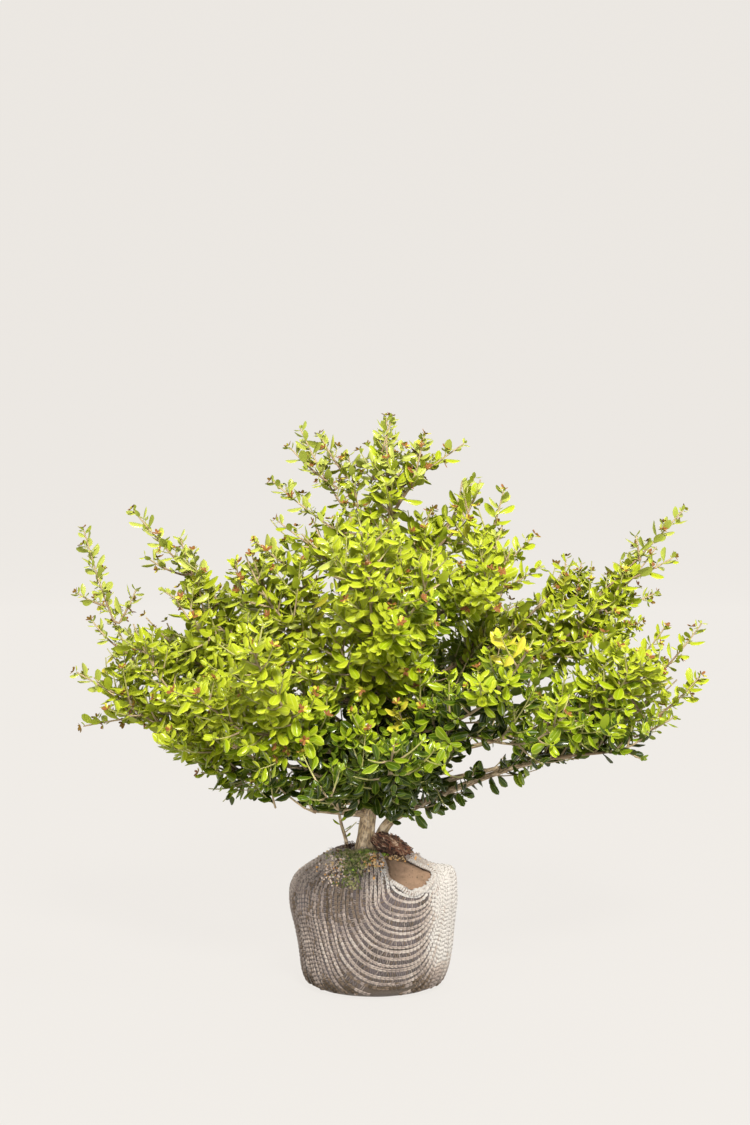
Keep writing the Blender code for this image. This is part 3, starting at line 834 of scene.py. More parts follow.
@dataclass(frozen=True)
class Mass:
    """One mass of foliage, where it grows from, and the tips that its two shoots reach."""

    name: str
    fork: float  # height at which its bough leaves the trunk, or 0 if a stem's end carries it
    bare: float  # share of the way to the first tip that is bough
    first_tip: Triple  # bearing, reach from the plant's middle, and height
    second_tip: Triple
    carries_on: str = ""  # the stem whose end it grows from

    def tips(self) -> list[Vector]:
        """The tips of its two shoots."""
        return [around(*self.first_tip), around(*self.second_tip)]


MASSES = (
    Mass("left_low", 0.199, 0.34, (173, 0.312, 0.332), (182, 0.225, 0.270)),
    Mass("left_middle", 0.2235, 0.30, (186, 0.320, 0.355), (194, 0.270, 0.410)),
    Mass("left_outer", 0.250, 0.34, (175, 0.318, 0.502), (167, 0.250, 0.420)),
    Mass("left_upper", 0.301, 0.28, (192, 0.266, 0.527), (200, 0.230, 0.440)),
    Mass("left_under", 0.190, 0.28, (214, 0.200, 0.248), (236, 0.180, 0.270)),
    Mass("shoulder_left", 0.345, 0.22, (212, 0.165, 0.486), (198, 0.140, 0.476)),
    Mass("crest_left", 0.402, 0.22, (165, 0.084, 0.612), (182, 0.108, 0.558)),
    Mass("crest_right", 0.425, 0.22, (18, 0.106, 0.602), (350, 0.120, 0.565)),
    Mass("crest_middle", 0, 0, (300, 0.027, 0.632), (330, 0.062, 0.606), "trunk"),
    Mass("shoulder_right", 0.370, 0.22, (338, 0.158, 0.546), (322, 0.185, 0.490)),
    Mass("right_inner", 0.318, 0.24, (10, 0.226, 0.476), (32, 0.200, 0.510)),
    Mass("right_upper", 0.281, 0.34, (5, 0.342, 0.527), (12, 0.290, 0.440)),
    Mass("right_outer", 0.240, 0.36, (349, 0.364, 0.402), (340, 0.300, 0.372)),
    Mass("right_low", 0.209, 0.40, (6, 0.354, 0.345), (14, 0.300, 0.318)),
    Mass("right_under", 0, 0, (355, 0.302, 0.276), (350, 0.322, 0.312), "second_stem"),
    Mass("front_left", 0.246, 0.24, (244, 0.285, 0.402), (226, 0.262, 0.350)),
    Mass("front_low", 0.213, 0.24, (274, 0.280, 0.302), (256, 0.230, 0.255)),
    Mass("front_right", 0.268, 0.24, (303, 0.285, 0.392), (318, 0.270, 0.322)),
    Mass("front_high", 0.331, 0.22, (268, 0.178, 0.512), (292, 0.165, 0.480)),
    Mass("back_left", 0.265, 0.26, (124, 0.290, 0.420), (142, 0.270, 0.352)),
    Mass("back_low", 0.219, 0.26, (88, 0.284, 0.312), (106, 0.240, 0.270)),
    Mass("back_right", 0.292, 0.26, (56, 0.290, 0.408), (40, 0.280, 0.340)),
    Mass("back_high", 0.356, 0.22, (92, 0.180, 0.522), (70, 0.165, 0.490)),
    Mass("inner_left", 0.232, 0, (232, 0.118, 0.330), (210, 0.110, 0.270)),
    Mass("inner_right", 0.255, 0, (318, 0.125, 0.318), (340, 0.120, 0.262)),
    Mass("inner_back", 0.240, 0, (80, 0.125, 0.336), (40, 0.120, 0.270)),
    Mass("inner_high", 0.312, 0, (284, 0.105, 0.440), (248, 0.110, 0.400)),
)

COARSE = (4, 3)  # straight pieces of a mass's two shoots in the solids
SOIL_TOP = 0.147
STEMS = {  # the points of each stem and the radius at each
    "trunk": (
        ((-0.010, 0.0, SOIL_TOP), 0.0122),
        ((-0.010, 0.0, 0.157), 0.0098),
        ((-0.007, 0.002, 0.185), 0.0088),
        ((-0.001, 0.002, 0.235), 0.0080),
        ((0.004, 0.000, 0.300), 0.0066),
        ((0.008, -0.002, 0.370), 0.0050),
        ((0.012, 0.000, 0.440), 0.0036),
        ((0.016, 0.000, 0.490), 0.0025),
    ),
    "second_stem": (
        ((0.0055, 0.0225, SOIL_TOP), 0.0082),
        ((0.0055, 0.0225, 0.157), 0.0068),
        ((0.014, 0.021, 0.175), 0.0062),
        ((0.032, 0.017, 0.190), 0.0057),
        ((0.070, 0.009, 0.209), 0.0050),
        ((0.112, 0.000, 0.2275), 0.0043),
        ((0.150, -0.008, 0.242), 0.0035),
        ((0.186, -0.012, 0.252), 0.0028),
    ),
    "sucker": (
        ((-0.031, 0.012, SOIL_TOP), 0.0024),
        ((-0.031, 0.012, 0.158), 0.0020),
        ((-0.036, 0.011, 0.176), 0.0018),
        ((-0.039, 0.011, 0.190), 0.0014),
    ),
}


def around(bearing: float, reach: float, height: float) -> Vector:
    """The point at this bearing and reach from the plant's middle."""
    turn = math.radians(bearing)
    return Vector((reach * math.cos(turn), reach * math.sin(turn), height))


def stem_path(name: str) -> list[Vector]:
    """The points of a stem."""
    return [Vector(point) for point, _ in STEMS[name]]


def stem_radii(name: str) -> list[float]:
    """The radii of a stem."""
    return [radius for _, radius in STEMS[name]]


def on_path(path: Line, share: float) -> tuple[Vector, Vector]:
    """The point this share of the way along a path of even steps, and the way it runs there."""
    place = min(max(share, 0.0), 1.0) * (len(path) - 1)
    step = min(int(place), len(path) - 2)
    return path[step].lerp(path[step + 1], place - step), (path[step + 1] - path[step]).normalized()


def part_of(path: Line, first: float, last: float, steps: int) -> list[Vector]:
    """The stretch of a path between two shares of it."""
    return [on_path(path, first + (last - first) * step / steps)[0] for step in range(steps + 1)]


def length_of(path: Line) -> float:
    """The length of a path."""
    return sum((b - a).length for a, b in zip(path, path[1:]))


def tapering(first: float, last: float, count: int) -> list[float]:
    """Radii that taper evenly."""
    return [first + (last - first) * step / (count - 1) for step in range(count)]


def side_ways(way: Vector) -> tuple[Vector, Vector]:
    """Two ways square to this one, the first as near to level as can be."""
    level = way.cross(UP)
    level = level.normalized() if level.length > 0.05 else Vector((1, 0, 0))
    return level, level.cross(way).normalized()


def shaken(chance: random.Random, way: Vector, amount: float) -> Vector:
    """This way, turned a little by chance."""
    return (way + Vector([chance.uniform(-amount, amount) for _ in range(3)])).normalized()


def distances(points: np.ndarray, starts: np.ndarray, ends: np.ndarray) -> np.ndarray:
    """How far each point is from each straight piece, as a table."""
    along = ends - starts
    from_start = points[:, None, :] - starts[None]
    share = (from_start * along).sum(2) / (along * along).sum(1)
    nearest = from_start - np.clip(share, 0, 1)[..., None] * along
    return np.sqrt((nearest * nearest).sum(2))


@dataclass(frozen=True)
class GrowthRule:
    """How boughs, shoots and side twigs grow: the sizes of the solids and their paths."""

    gap: float = 0.0003
    bend_out: float = 0.38
    bend_in: float = 0.34
    leaving_slope: float = 0.62
    arriving_slope: float = 1.25
    arriving_lift: float = 0.22
    steepest: float = math.radians(86)
    limb_steps: int = 20
    bough_share: float = 0.56
    bough_tip_radius: float = 0.0021
    shoot_short: float = 0.038
    shoot_fork: float = 0.16
    shoot_lift: float = 0.6
    stem_shoot_lift: float = 0.3
    twig_length: float = 0.092
    twig_shortening: float = 0.5
    twig_spacing: float = 0.058
    twig_first: float = 0.020
    twig_last: float = 0.030
    twig_angle: float = math.radians(48)
    twig_lift: float = 0.45
    twig_tries: tuple[float, ...] = (1.0, 0.72, 0.5)
    twig_free: float = 0.3
    twig_radius: float = 0.0015
    underside: float = 0.166
    underside_rise: float = 0.27
    space_margin: float = 0.0012
    limb_margin: float = 0.0045

    def bend(self, start: Vector, out: Vector, end: Vector, way_in: Vector, steps: int) -> list[Vector]:
        """A smooth path.

        Args:
            start: where it begins.
            out: the way it leaves there.
            end: where it ends.
            way_in: the way it arrives there.
            steps: how many straight pieces it has.

        Returns:
            Its points.
        """
        reach = (end - start).length
        near = start + out * reach * self.bend_out
        far = end - way_in * reach * self.bend_in
        path = []
        for step in range(steps + 1):
            t = step / steps
            u = 1 - t
            path.append(start * u**3 + near * 3 * u * u * t + far * 3 * u * t * t + end * t**3)
        return path

    def trunk_at(self, height: float) -> Vector:
        """The middle of the trunk at this height."""
        points = stem_path("trunk")
        for low, high in zip(points, points[1:]):
            if height <= high.z:
                return low.lerp(high, (height - low.z) / (high.z - low.z))
        return points[-1]

    def trunk_radius(self, height: float) -> float:
        """The radius of the trunk just above this height."""
        above = [point[2] for point, _ in STEMS["trunk"][1:]]
        return next(radius for top, radius in zip(above, stem_radii("trunk")) if top > height)

    def short_of(self, tip: Vector, way: Vector) -> Vector:
        """Where a shoot that reaches this tip ends, if it arrives along way."""
        return tip - way * self.shoot_short

    def whole_limb(self, mass: Mass) -> list[Vector]:
        """The path from a mass's fork to its furthest tip: bough first, then leading shoot."""
        tip = mass.tips()[0]
        start = self.trunk_at(mass.fork)
        flat = Vector((tip.x - start.x, tip.y - start.y, 0))
        rise = math.atan2(tip.z - start.z, flat.length)
        flat.normalize()
        leaving = rise * self.leaving_slope
        arriving = min(rise * self.arriving_slope + self.arriving_lift, self.steepest)
        out = flat * math.cos(leaving) + UP * math.sin(leaving)
        way_in = flat * math.cos(arriving) + UP * math.sin(arriving)
        return self.bend(start, out, self.short_of(tip, way_in), way_in, self.limb_steps)

    def shoots_of(self, mass: Mass, leader_steps: int, shoot_steps: int) -> list[list[Vector]]:
        """The paths of a mass's leading shoot and of the one that leaves it.

        Args:
            mass: the mass.
            leader_steps: straight pieces of the leading shoot.
            shoot_steps: straight pieces of the other.

        Returns:
            The two paths.
        """
        if mass.carries_on:
            before, end = stem_path(mass.carries_on)[-2:]
            out = (end - before).normalized()
            tip = mass.tips()[0]
            way_in = ((tip - end).normalized() + UP * self.stem_shoot_lift).normalized()
            start = end + out * self.gap
            leader = self.bend(start, out, self.short_of(tip, way_in), way_in, leader_steps)
        else:
            limb = self.whole_limb(mass)
            first = mass.bare + self.gap / length_of(limb) if mass.bare else 0.0
            leader = part_of(limb, first, 1.0, leader_steps)
        start, way = on_path(leader, self.shoot_fork)
        tip = mass.tips()[1]
        out = (way + (tip - start).normalized()).normalized()
        way_in = ((tip - start).normalized() + UP * self.shoot_lift).normalized()
        return [leader, self.bend(start, out, self.short_of(tip, way_in), way_in, shoot_steps)]

    def bough_of(self, mass: Mass, steps: int) -> tuple[list[Vector], list[float]]:
        """The path and radii of a mass's bough."""
        path = part_of(self.whole_limb(mass), 0.0, mass.bare, steps)
        thick = self.bough_share * self.trunk_radius(mass.fork)
        return path, tapering(thick, self.bough_tip_radius, len(path))

    def side_twig(self, chance: random.Random, path: Line, share: float, turn: float,
                  length: float, steps: int) -> list[Vector]:
        """The path of a twig that leaves another.

        Args:
            chance: what its angle is drawn from.
            path: what it leaves.
            share: where on that.
            turn: where around it.
            length: how long it is.
            steps: its straight pieces.

        Returns:
            Its points.
        """
        start, way = on_path(path, share)
        level, lifted = side_ways(way)
        side = level * math.cos(turn) + lifted * math.sin(turn)
        angle = self.twig_angle * chance.uniform(0.8, 1.15)
        out = (way * math.cos(angle) + side * math.sin(angle)).normalized()
        end = start + (out + UP * self.twig_lift * 0.5).normalized() * length
        return self.bend(start, out, end, (out + UP * self.twig_lift).normalized(), steps)


class Spaces:
    """The space of each mass: what is nearer to its own shoots than to another mass's."""

    def __init__(self, rule: GrowthRule) -> None:
        """Lays out the shoots and limbs as coarse as the solids have them."""
        self.rule = rule
        shoots = [
            (*a, *b, number)
            for number, mass in enumerate(MASSES)
            for path in rule.shoots_of(mass, *COARSE)
            for a, b in zip(path, path[1:])
        ]
        table = np.array(shoots, float)
        self.starts, self.ends, self.owner = table[:, :3], table[:, 3:6], table[:, 6].astype(int)
        limbs = [(stem_path(name), stem_radii(name)) for name in STEMS]
        limbs += [rule.bough_of(mass, 3) for mass in MASSES if mass.bare]
        rows = [
            (*a, *b, max(ra, rb))
            for path, radii in limbs
            for a, b, ra, rb in zip(path, path[1:], radii, radii[1:])
        ]
        table = np.array(rows, float)
        self.limb_starts, self.limb_ends, self.limb_radii = table[:, :3], table[:, 3:6], table[:, 6]

    def holds(self, number: int, points: Line, margin: float) -> bool:
        """Whether all points lie in this mass's space and clear of the limbs and root ball."""
        places = np.array(points, float)
        table = distances(places, self.starts, self.ends)
        own = table[:, self.owner == number].min(1)
        other = table[:, self.owner != number].min(1)
        if (other - own < 2 * margin).any() or self.too_low(places).any():
            return False
        return bool(self.from_limbs(places).min() > self.rule.limb_margin)

    def too_low(self, places: np.ndarray) -> np.ndarray:
        """Which points are below the crown's underside."""
        reach = np.hypot(places[:, 0], places[:, 1])
        return places[:, 2] < self.rule.underside + self.rule.underside_rise * reach

    def from_limbs(self, places: np.ndarray) -> np.ndarray:
        """How far each point is from the surface of the nearest limb."""
        return (distances(places, self.limb_starts, self.limb_ends) - self.limb_radii).min(1)


# The stems


@dataclass
class Stems:
    """Trunk, second stem, sucker and boughs, with bark in relief."""

    rule: GrowthRule
    ring_step: float = 0.0016
    relief: float = 0.07  # share of the radius
    fine_relief: float = 0.03
    flare: float = 0.16  # of the foot
    flare_height: float = 0.012
    slimmest: float = 0.72  # the second stem's end, against the solid's
    sides: dict[str, int] = field(
        default_factory=lambda: {"trunk": 28, "second_stem": 20, "sucker": 10, "bough": 12}
    )

    def bark_rings(self, line: np.ndarray, sides: int, seed: float, flared: bool) -> np.ndarray:
        """Rings round a limb with ridges, cracks and knots.

        Args:
            line: the limb's points and, last in each row, its radii.
            sides: points of a ring.
            seed: what sets its relief apart from another limb's.
            flared: whether its foot spreads.

        Returns:
            The rings' points.
        """
        ways = ways_along(line[:, :3])
        across = Vector((1, 0, 0))
        rings = np.zeros((len(line), sides, 3))
        gone = 0.0
        for row, (*place, radius) in enumerate(line):
            way = Vector(ways[row])
            across = (across - way * across.dot(way)).normalized()
            other = way.cross(across)
            gone += (line[row, :3] - line[max(row - 1, 0), :3]) @ ways[row]
            spread = self.flare * math.exp(-gone / self.flare_height) if flared else 0.0
            for side in range(sides):
                turn = math.tau * side / sides
                out = across * math.cos(turn) + other * math.sin(turn)
                ridge = noise.noise(Vector((out.x * 1.7, out.y * 1.7, gone * 45 + seed)))
                knot = noise.noise(Vector((out.x * 1.2 + seed, out.y * 1.2, gone * 110)))
                grain = noise.noise(Vector((out.x * 6, out.y * 6, gone * 420 + seed)))
                toes = spread * (1 + 0.8 * math.cos(3 * turn + seed))
                swollen = 1 + self.relief * (ridge + 0.8 * max(knot, 0)) + self.fine_relief * grain + toes
                rings[row, side] = Vector(place) + out * radius * swollen
        return rings

    def limb(self, name: str, path: Line, radii: Sequence[float], sides: int) -> Mesh:
        """One limb as a closed mesh.

        Args:
            name: of the mesh, which also sets its relief.
            path: its points.
            radii: the radius at each.
            sides: points of a ring.

        Returns:
            The mesh, with a UV map named limb in metres around and along it.
        """
        line = smooth_line([(*place, radius) for place, radius in zip(path, radii)], 8)
        line = stretched_evenly(line, self.ring_step)
        rings = self.bark_rings(line, sides, sum(map(ord, name)) * 0.37, name == "trunk")
        mesh = ring_mesh(name, rings, line[0, :3], line[-1, :3])
        layer = mesh.uv_layers.new(name="limb")
        girth = math.tau * float(line[:, 3].mean())
        for loop in mesh.loops:
            row, side = divmod(min(loop.vertex_index, rings.shape[0] * sides - 1), sides)
            layer.data[loop.index].uv = (side / sides * girth, row * self.ring_step)
        return mesh

    def build(self) -> None:
        """Builds and hands over all limbs."""
        bark = BarkFinish().material()
        for name in STEMS:
            radii = stem_radii(name)
            if name == "second_stem":
                slims = tapering(1.0, self.slimmest, len(radii))
                radii = [radius * slim for radius, slim in zip(radii, slims)]
            mesh = self.limb(name, stem_path(name), radii, self.sides[name])
            mesh.materials.append(bark)
            dressed(new_piece(f"{name}_bark", mesh), "bark", name)
        joined = bmesh.new()
        carried = [mass for mass in MASSES if mass.bare]
        for mass in carried:
            path, radii = self.rule.bough_of(mass, 6)
            joined.from_mesh(self.limb(f"bough_{mass.name}", path, radii, self.sides["bough"]))
        mesh = mesh_from(joined, "boughs")
        mesh.materials.append(bark)
        dressed(new_piece("boughs_bark", mesh), "bark", *[f"bough_{mass.name}" for mass in carried])


# The foliage


@dataclass(frozen=True)
class LeafShape:
    """One leaf: an oval blade, arched over a thinner underside, on a short stalk."""

    length: float
    width: float
    fullness: tuple[float, ...]  # half widths at the stations, against the widest
    cup: float  # how far the margins hang, against the half width
    droop: float  # how far the tip hangs, against the length
    twist: float = 0.0

    STATIONS = (0.14, 0.36, 0.64, 0.88)
    COLUMNS = (-1.0, -0.74, -0.08, 0.08, 0.74, 1.0)
    SIDES = (3, 0, 1, 0, 3, 2, 2)
    THICKNESS = 0.0004
    GROOVE = 0.00025

    def surface(self, station: int, column: float) -> Triple:
        """The point of the upper side at a station and a column from -1 to 1."""
        along = self.STATIONS[station]
        half = self.fullness[station] * self.width / 2
        bulge = math.sin(math.pi * min(max((along - 0.06) / 0.94, 0), 1)) ** 0.6
        height = -self.cup * half * abs(column) ** 2.2 * bulge - self.droop * self.length * along**2
        if abs(column) < 0.1:
            height -= self.GROOVE * bulge
        sway = self.twist * self.width * math.sin(math.pi * along)
        return column * half + sway, along * self.length, height

    def mesh(self, name: str) -> Mesh:
        """Builds the closed leaf, its foot at the origin, along +Y, its face up.

        Args:
            name: of the mesh.

        Returns:
            The mesh, whose faces carry side: 0 on the blade, 1 on the rib, 2 underneath, 3 at the margin.
        """
        row = len(self.COLUMNS) + 1
        points, faces, sides = [], [], []
        for station in range(len(self.STATIONS)):
            points += [self.surface(station, column) for column in self.COLUMNS]
            x, y, z = self.surface(station, 0.0)
            points.append((x, y, z - self.THICKNESS))
        foot, tip = len(points), len(points) + 1
        points += [(0.0, 0.0, 0.0), (0.0, self.length, -self.droop * self.length)]
        strips = [(column, column + 1) for column in range(row - 2)] + [(row - 2, row - 1), (row - 1, 0)]
        for number, (left, right) in enumerate(strips):
            side = self.SIDES[number]
            for station in range(len(self.STATIONS) - 1):
                near, far = station * row, (station + 1) * row
                faces.append((near + left, near + right, far + right, far + left))
            last = (len(self.STATIONS) - 1) * row
            faces += [(foot, right, left), (tip, last + left, last + right)]
            sides += [side] * (len(self.STATIONS) + 1)
        mesh = mesh_of(name, points, faces)
        held = mesh.attributes.new("side", "INT", "FACE")
        held.data.foreach_set("value", sides)
        shape = bmesh.new()
        shape.from_mesh(mesh)
        bmesh.ops.recalc_face_normals(shape, faces=shape.faces)
        layer = shape.faces.layers.int["side"]
        for edge in shape.edges:
            edge.smooth = len({face[layer] == 2 for face in edge.link_faces}) == 1
        shape.to_mesh(mesh)
        shape.free()
        return mesh


LEAF_SHAPES = (
    LeafShape(0.0220, 0.0100, (0.34, 0.86, 1.0, 0.66), 0.60, 0.16),
    LeafShape(0.0212, 0.0092, (0.30, 0.82, 1.0, 0.70), 0.75, 0.26, 0.05),
    LeafShape(0.0230, 0.0096, (0.34, 0.88, 0.98, 0.58), 0.50, 0.08, -0.05),
    LeafShape(0.0200, 0.0106, (0.38, 0.90, 1.0, 0.68), 0.55, 0.34),
)


@dataclass(frozen=True)
class Outline:
    """The crown's leafy body as seen from the front, and the sky seen through it.

    Points are across and height where the eye's sight line meets the plane y = 0. Shoots reach out
    of the body with leaves of their own only.
    """

    eye: Triple = (0.001, -2.6, 0.60)
    longest_gap: int = 5  # points of a path
    body: tuple[Pair, ...] = (
        (-0.310, 0.309), (-0.308, 0.344), (-0.293, 0.377), (-0.270, 0.404), (-0.232, 0.404),
        (-0.212, 0.391), (-0.203, 0.418), (-0.231, 0.430), (-0.207, 0.439), (-0.218, 0.459),
        (-0.233, 0.481), (-0.224, 0.510), (-0.201, 0.498), (-0.183, 0.473), (-0.156, 0.463),
        (-0.150, 0.474), (-0.133, 0.482), (-0.121, 0.484), (-0.107, 0.506), (-0.080, 0.500),
        (-0.057, 0.518), (-0.042, 0.530), (-0.057, 0.556), (-0.076, 0.574), (-0.084, 0.594),
        (-0.082, 0.612), (-0.066, 0.606), (-0.040, 0.586), (-0.026, 0.585), (-0.012, 0.600),
        (0.004, 0.618), (0.022, 0.626), (0.030, 0.610), (0.055, 0.608), (0.064, 0.597),
        (0.098, 0.605), (0.102, 0.596), (0.070, 0.572), (0.044, 0.550), (0.028, 0.540),
        (0.035, 0.532), (0.050, 0.527), (0.066, 0.524), (0.080, 0.529), (0.086, 0.547),
        (0.103, 0.565), (0.118, 0.562), (0.121, 0.548), (0.108, 0.535), (0.121, 0.524),
        (0.138, 0.518), (0.147, 0.500), (0.158, 0.478), (0.165, 0.466), (0.139, 0.441),
        (0.139, 0.424), (0.161, 0.431), (0.185, 0.440), (0.196, 0.462), (0.222, 0.470),
        (0.240, 0.458), (0.261, 0.469), (0.283, 0.490), (0.310, 0.478), (0.285, 0.452),
        (0.306, 0.438), (0.309, 0.425), (0.292, 0.404), (0.301, 0.383), (0.318, 0.388),
        (0.319, 0.358), (0.333, 0.340), (0.326, 0.311), (0.306, 0.288), (0.300, 0.264),
        (0.293, 0.252), (0.249, 0.261), (0.205, 0.245), (0.139, 0.223), (0.078, 0.196),
        (0.050, 0.180), (0.030, 0.176), (0.010, 0.186), (-0.010, 0.195), (-0.032, 0.195),
        (-0.054, 0.193), (-0.086, 0.201), (-0.117, 0.208), (-0.136, 0.198), (-0.173, 0.204),
        (-0.173, 0.219), (-0.186, 0.234), (-0.202, 0.245), (-0.216, 0.246), (-0.227, 0.255),
        (-0.238, 0.268), (-0.249, 0.288), (-0.268, 0.296), (-0.296, 0.305),
    )
    holes: tuple[tuple[float, float, float, float], ...] = (  # middle and half sizes
        (-0.083, 0.333, 0.010, 0.008), (-0.032, 0.373, 0.007, 0.007), (-0.040, 0.301, 0.009, 0.006),
        (-0.092, 0.246, 0.012, 0.006), (0.111, 0.303, 0.011, 0.013), (0.161, 0.323, 0.009, 0.010),
        (0.189, 0.342, 0.007, 0.007), (0.189, 0.289, 0.007, 0.005), (0.097, 0.243, 0.013, 0.009),
        (0.122, 0.254, 0.015, 0.009), (0.147, 0.265, 0.013, 0.008),
    )

    def seen(self, places: np.ndarray) -> np.ndarray:
        """Places as the eye sees them on the plane y = 0: across and height, one a row."""
        eye = np.array(self.eye)
        nearness = eye[1] / (eye[1] - places[:, 1])
        return (eye + (places - eye) * nearness[:, None])[:, (0, 2)]

    def at_depth(self, seen: Pair, depth: float) -> Vector:
        """The place that is seen there on the plane y = 0, and lies this far behind it."""
        eye = Vector(self.eye)
        return eye + (Vector((seen[0], 0.0, seen[1])) - eye) * (1 - depth / eye.y)

    def body_part(self, path: Line) -> list[Vector]:
        """A path as far as it is seen on the body, but for short gaps."""
        last = 2
        for number, seen in enumerate(self.holds(np.array(path, float))):
            if seen and number - last <= self.longest_gap:
                last = number
        return list(path[: last + 2])

    def holds(self, places: np.ndarray) -> np.ndarray:
        """Which places are seen on the body and not in a hole."""
        flat = self.seen(places)
        held = inside_polygon(flat, np.array(self.body))
        for x, z, wide, high in self.holes:
            held &= ((flat[:, 0] - x) / wide) ** 2 + ((flat[:, 1] - z) / high) ** 2 > 1
        return held


@dataclass(frozen=True)
class EdgeShoot:
    """A shoot that stands out of the crown's body, as the eye sees it on the plane y = 0."""

    start: Pair  # across and height
    tip: Pair
    sprig: float  # the length of its side twigs
    lift: float  # how much it turns up on its way

    def path(self, rule: GrowthRule, outline: Outline, own: Line, depth: float, steps: int
             ) -> list[Vector]:
        """Its points in space.

        Args:
            rule: how it grows.
            outline: how it is seen.
            own: points of its mass's shoots and the trunk, which it leaves at the nearest one.
            depth: how far behind the plane its tip is.
            steps: its straight pieces.

        Returns:
            The points.
        """
        start = outline.at_depth(self.start, depth * 0.6)
        tip = outline.at_depth(self.tip, depth)
        chord = (tip - start).normalized()
        out = (chord - UP * self.lift).normalized()
        way_in = (chord + UP * self.lift).normalized()
        foot = min(own, key=lambda point: (point - start).length)
        return [foot, foot.lerp(start, 0.5)] + rule.bend(start, out, tip, way_in, steps)


EDGE_SHOOTS = {  # for each mass, its shoots' starts, tips, sprigs and lifts
    "left_outer": (
        ((-0.255, 0.344), (-0.319, 0.504), 0.016, 0.35), ((-0.281, 0.402), (-0.262, 0.439), 0.006, 0.2),
        ((-0.294, 0.421), (-0.326, 0.435), 0.008, 0.2), ((-0.268, 0.367), (-0.310, 0.404), 0.010, 0.3),
    ),
    "left_upper": (
        ((-0.170, 0.426), (-0.264, 0.526), 0.014, 0.12), ((-0.209, 0.455), (-0.252, 0.476), 0.008, 0.2),
        ((-0.191, 0.439), (-0.213, 0.496), 0.008, 0.3), ((-0.187, 0.415), (-0.232, 0.438), 0.010, 0.15),
    ),
    "left_middle": (
        ((-0.230, 0.305), (-0.328, 0.348), 0.016, 0.15),
    ),
    "left_low": (
        ((-0.227, 0.302), (-0.321, 0.288), 0.012, -0.05),
    ),
    "shoulder_left": (
        ((-0.141, 0.424), (-0.153, 0.471), 0.008, 0.2), ((-0.119, 0.439), (-0.134, 0.476), 0.008, 0.2),
        ((-0.070, 0.448), (-0.130, 0.492), 0.012, 0.1),
    ),
    "crest_left": (
        ((-0.043, 0.472), (-0.106, 0.515), 0.012, 0.1), ((-0.026, 0.494), (-0.111, 0.558), 0.016, 0.1),
        ((-0.024, 0.516), (-0.081, 0.616), 0.022, 0.2), ((-0.040, 0.551), (-0.092, 0.595), 0.012, 0.2),
        ((-0.029, 0.562), (-0.059, 0.608), 0.014, 0.2), ((-0.012, 0.500), (-0.028, 0.586), 0.018, 0.1),
    ),
    "crest_right": (
        ((0.030, 0.480), (0.064, 0.526), 0.014, 0.1), ((0.068, 0.494), (0.110, 0.562), 0.014, 0.2),
    ),
    "crest_middle": (
        ((-0.002, 0.560), (0.019, 0.627), 0.012, 0.15), ((0.022, 0.546), (0.099, 0.600), 0.014, 0.0),
        ((0.033, 0.560), (0.055, 0.607), 0.014, 0.2),
    ),
    "shoulder_right": (
        ((0.121, 0.476), (0.142, 0.547), 0.008, 0.2), ((0.119, 0.448), (0.175, 0.498), 0.012, 0.15),
        ((0.128, 0.432), (0.183, 0.465), 0.010, 0.1),
    ),
    "right_inner": (
        ((0.205, 0.421), (0.211, 0.473), 0.008, 0.2), ((0.220, 0.421), (0.228, 0.469), 0.008, 0.2),
    ),
    "right_upper": (
        ((0.244, 0.430), (0.339, 0.526), 0.014, 0.08), ((0.279, 0.450), (0.328, 0.474), 0.010, 0.1),
        ((0.293, 0.472), (0.288, 0.498), 0.006, 0.2), ((0.257, 0.413), (0.309, 0.435), 0.012, 0.05),
        ((0.253, 0.391), (0.293, 0.403), 0.010, 0.05),
    ),
    "right_outer": (
        ((0.299, 0.331), (0.361, 0.402), 0.010, 0.15), ((0.268, 0.340), (0.320, 0.397), 0.010, 0.2),
        ((0.301, 0.292), (0.359, 0.343), 0.010, 0.2),
    ),
    "right_low": (
        ((0.288, 0.276), (0.331, 0.298), 0.010, 0.1),
    ),
    "right_under": (
        ((0.246, 0.272), (0.296, 0.251), 0.008, -0.1),
    ),
}


@dataclass
class Strands:
    """Thin limbs that are collected to become one piece of tubes."""

    points: list[Vector] = field(default_factory=list)
    edges: list[tuple[int, int]] = field(default_factory=list)
    radii: list[float] = field(default_factory=list)
    tints: list[int] = field(default_factory=list)

    def add(self, path: Line, radii: Sequence[float], tints: Sequence[int]) -> None:
        """Adds one limb with its radius and colour at each point."""
        first = len(self.points)
        self.points += path
        self.edges += [(first + step, first + step + 1) for step in range(len(path) - 1)]
        self.radii += radii
        self.tints += tints

    def seed(self) -> Object:
        """The strands as edges whose points carry radius and tint."""
        mesh = bpy.data.meshes.new("strands")
        mesh.from_pydata([tuple(point) for point in self.points], self.edges, [])
        mesh.attributes.new("radius", "FLOAT", "POINT").data.foreach_set("value", self.radii)
        mesh.attributes.new("tint", "INT", "POINT").data.foreach_set("value", self.tints)
        return new_piece("strands", mesh)


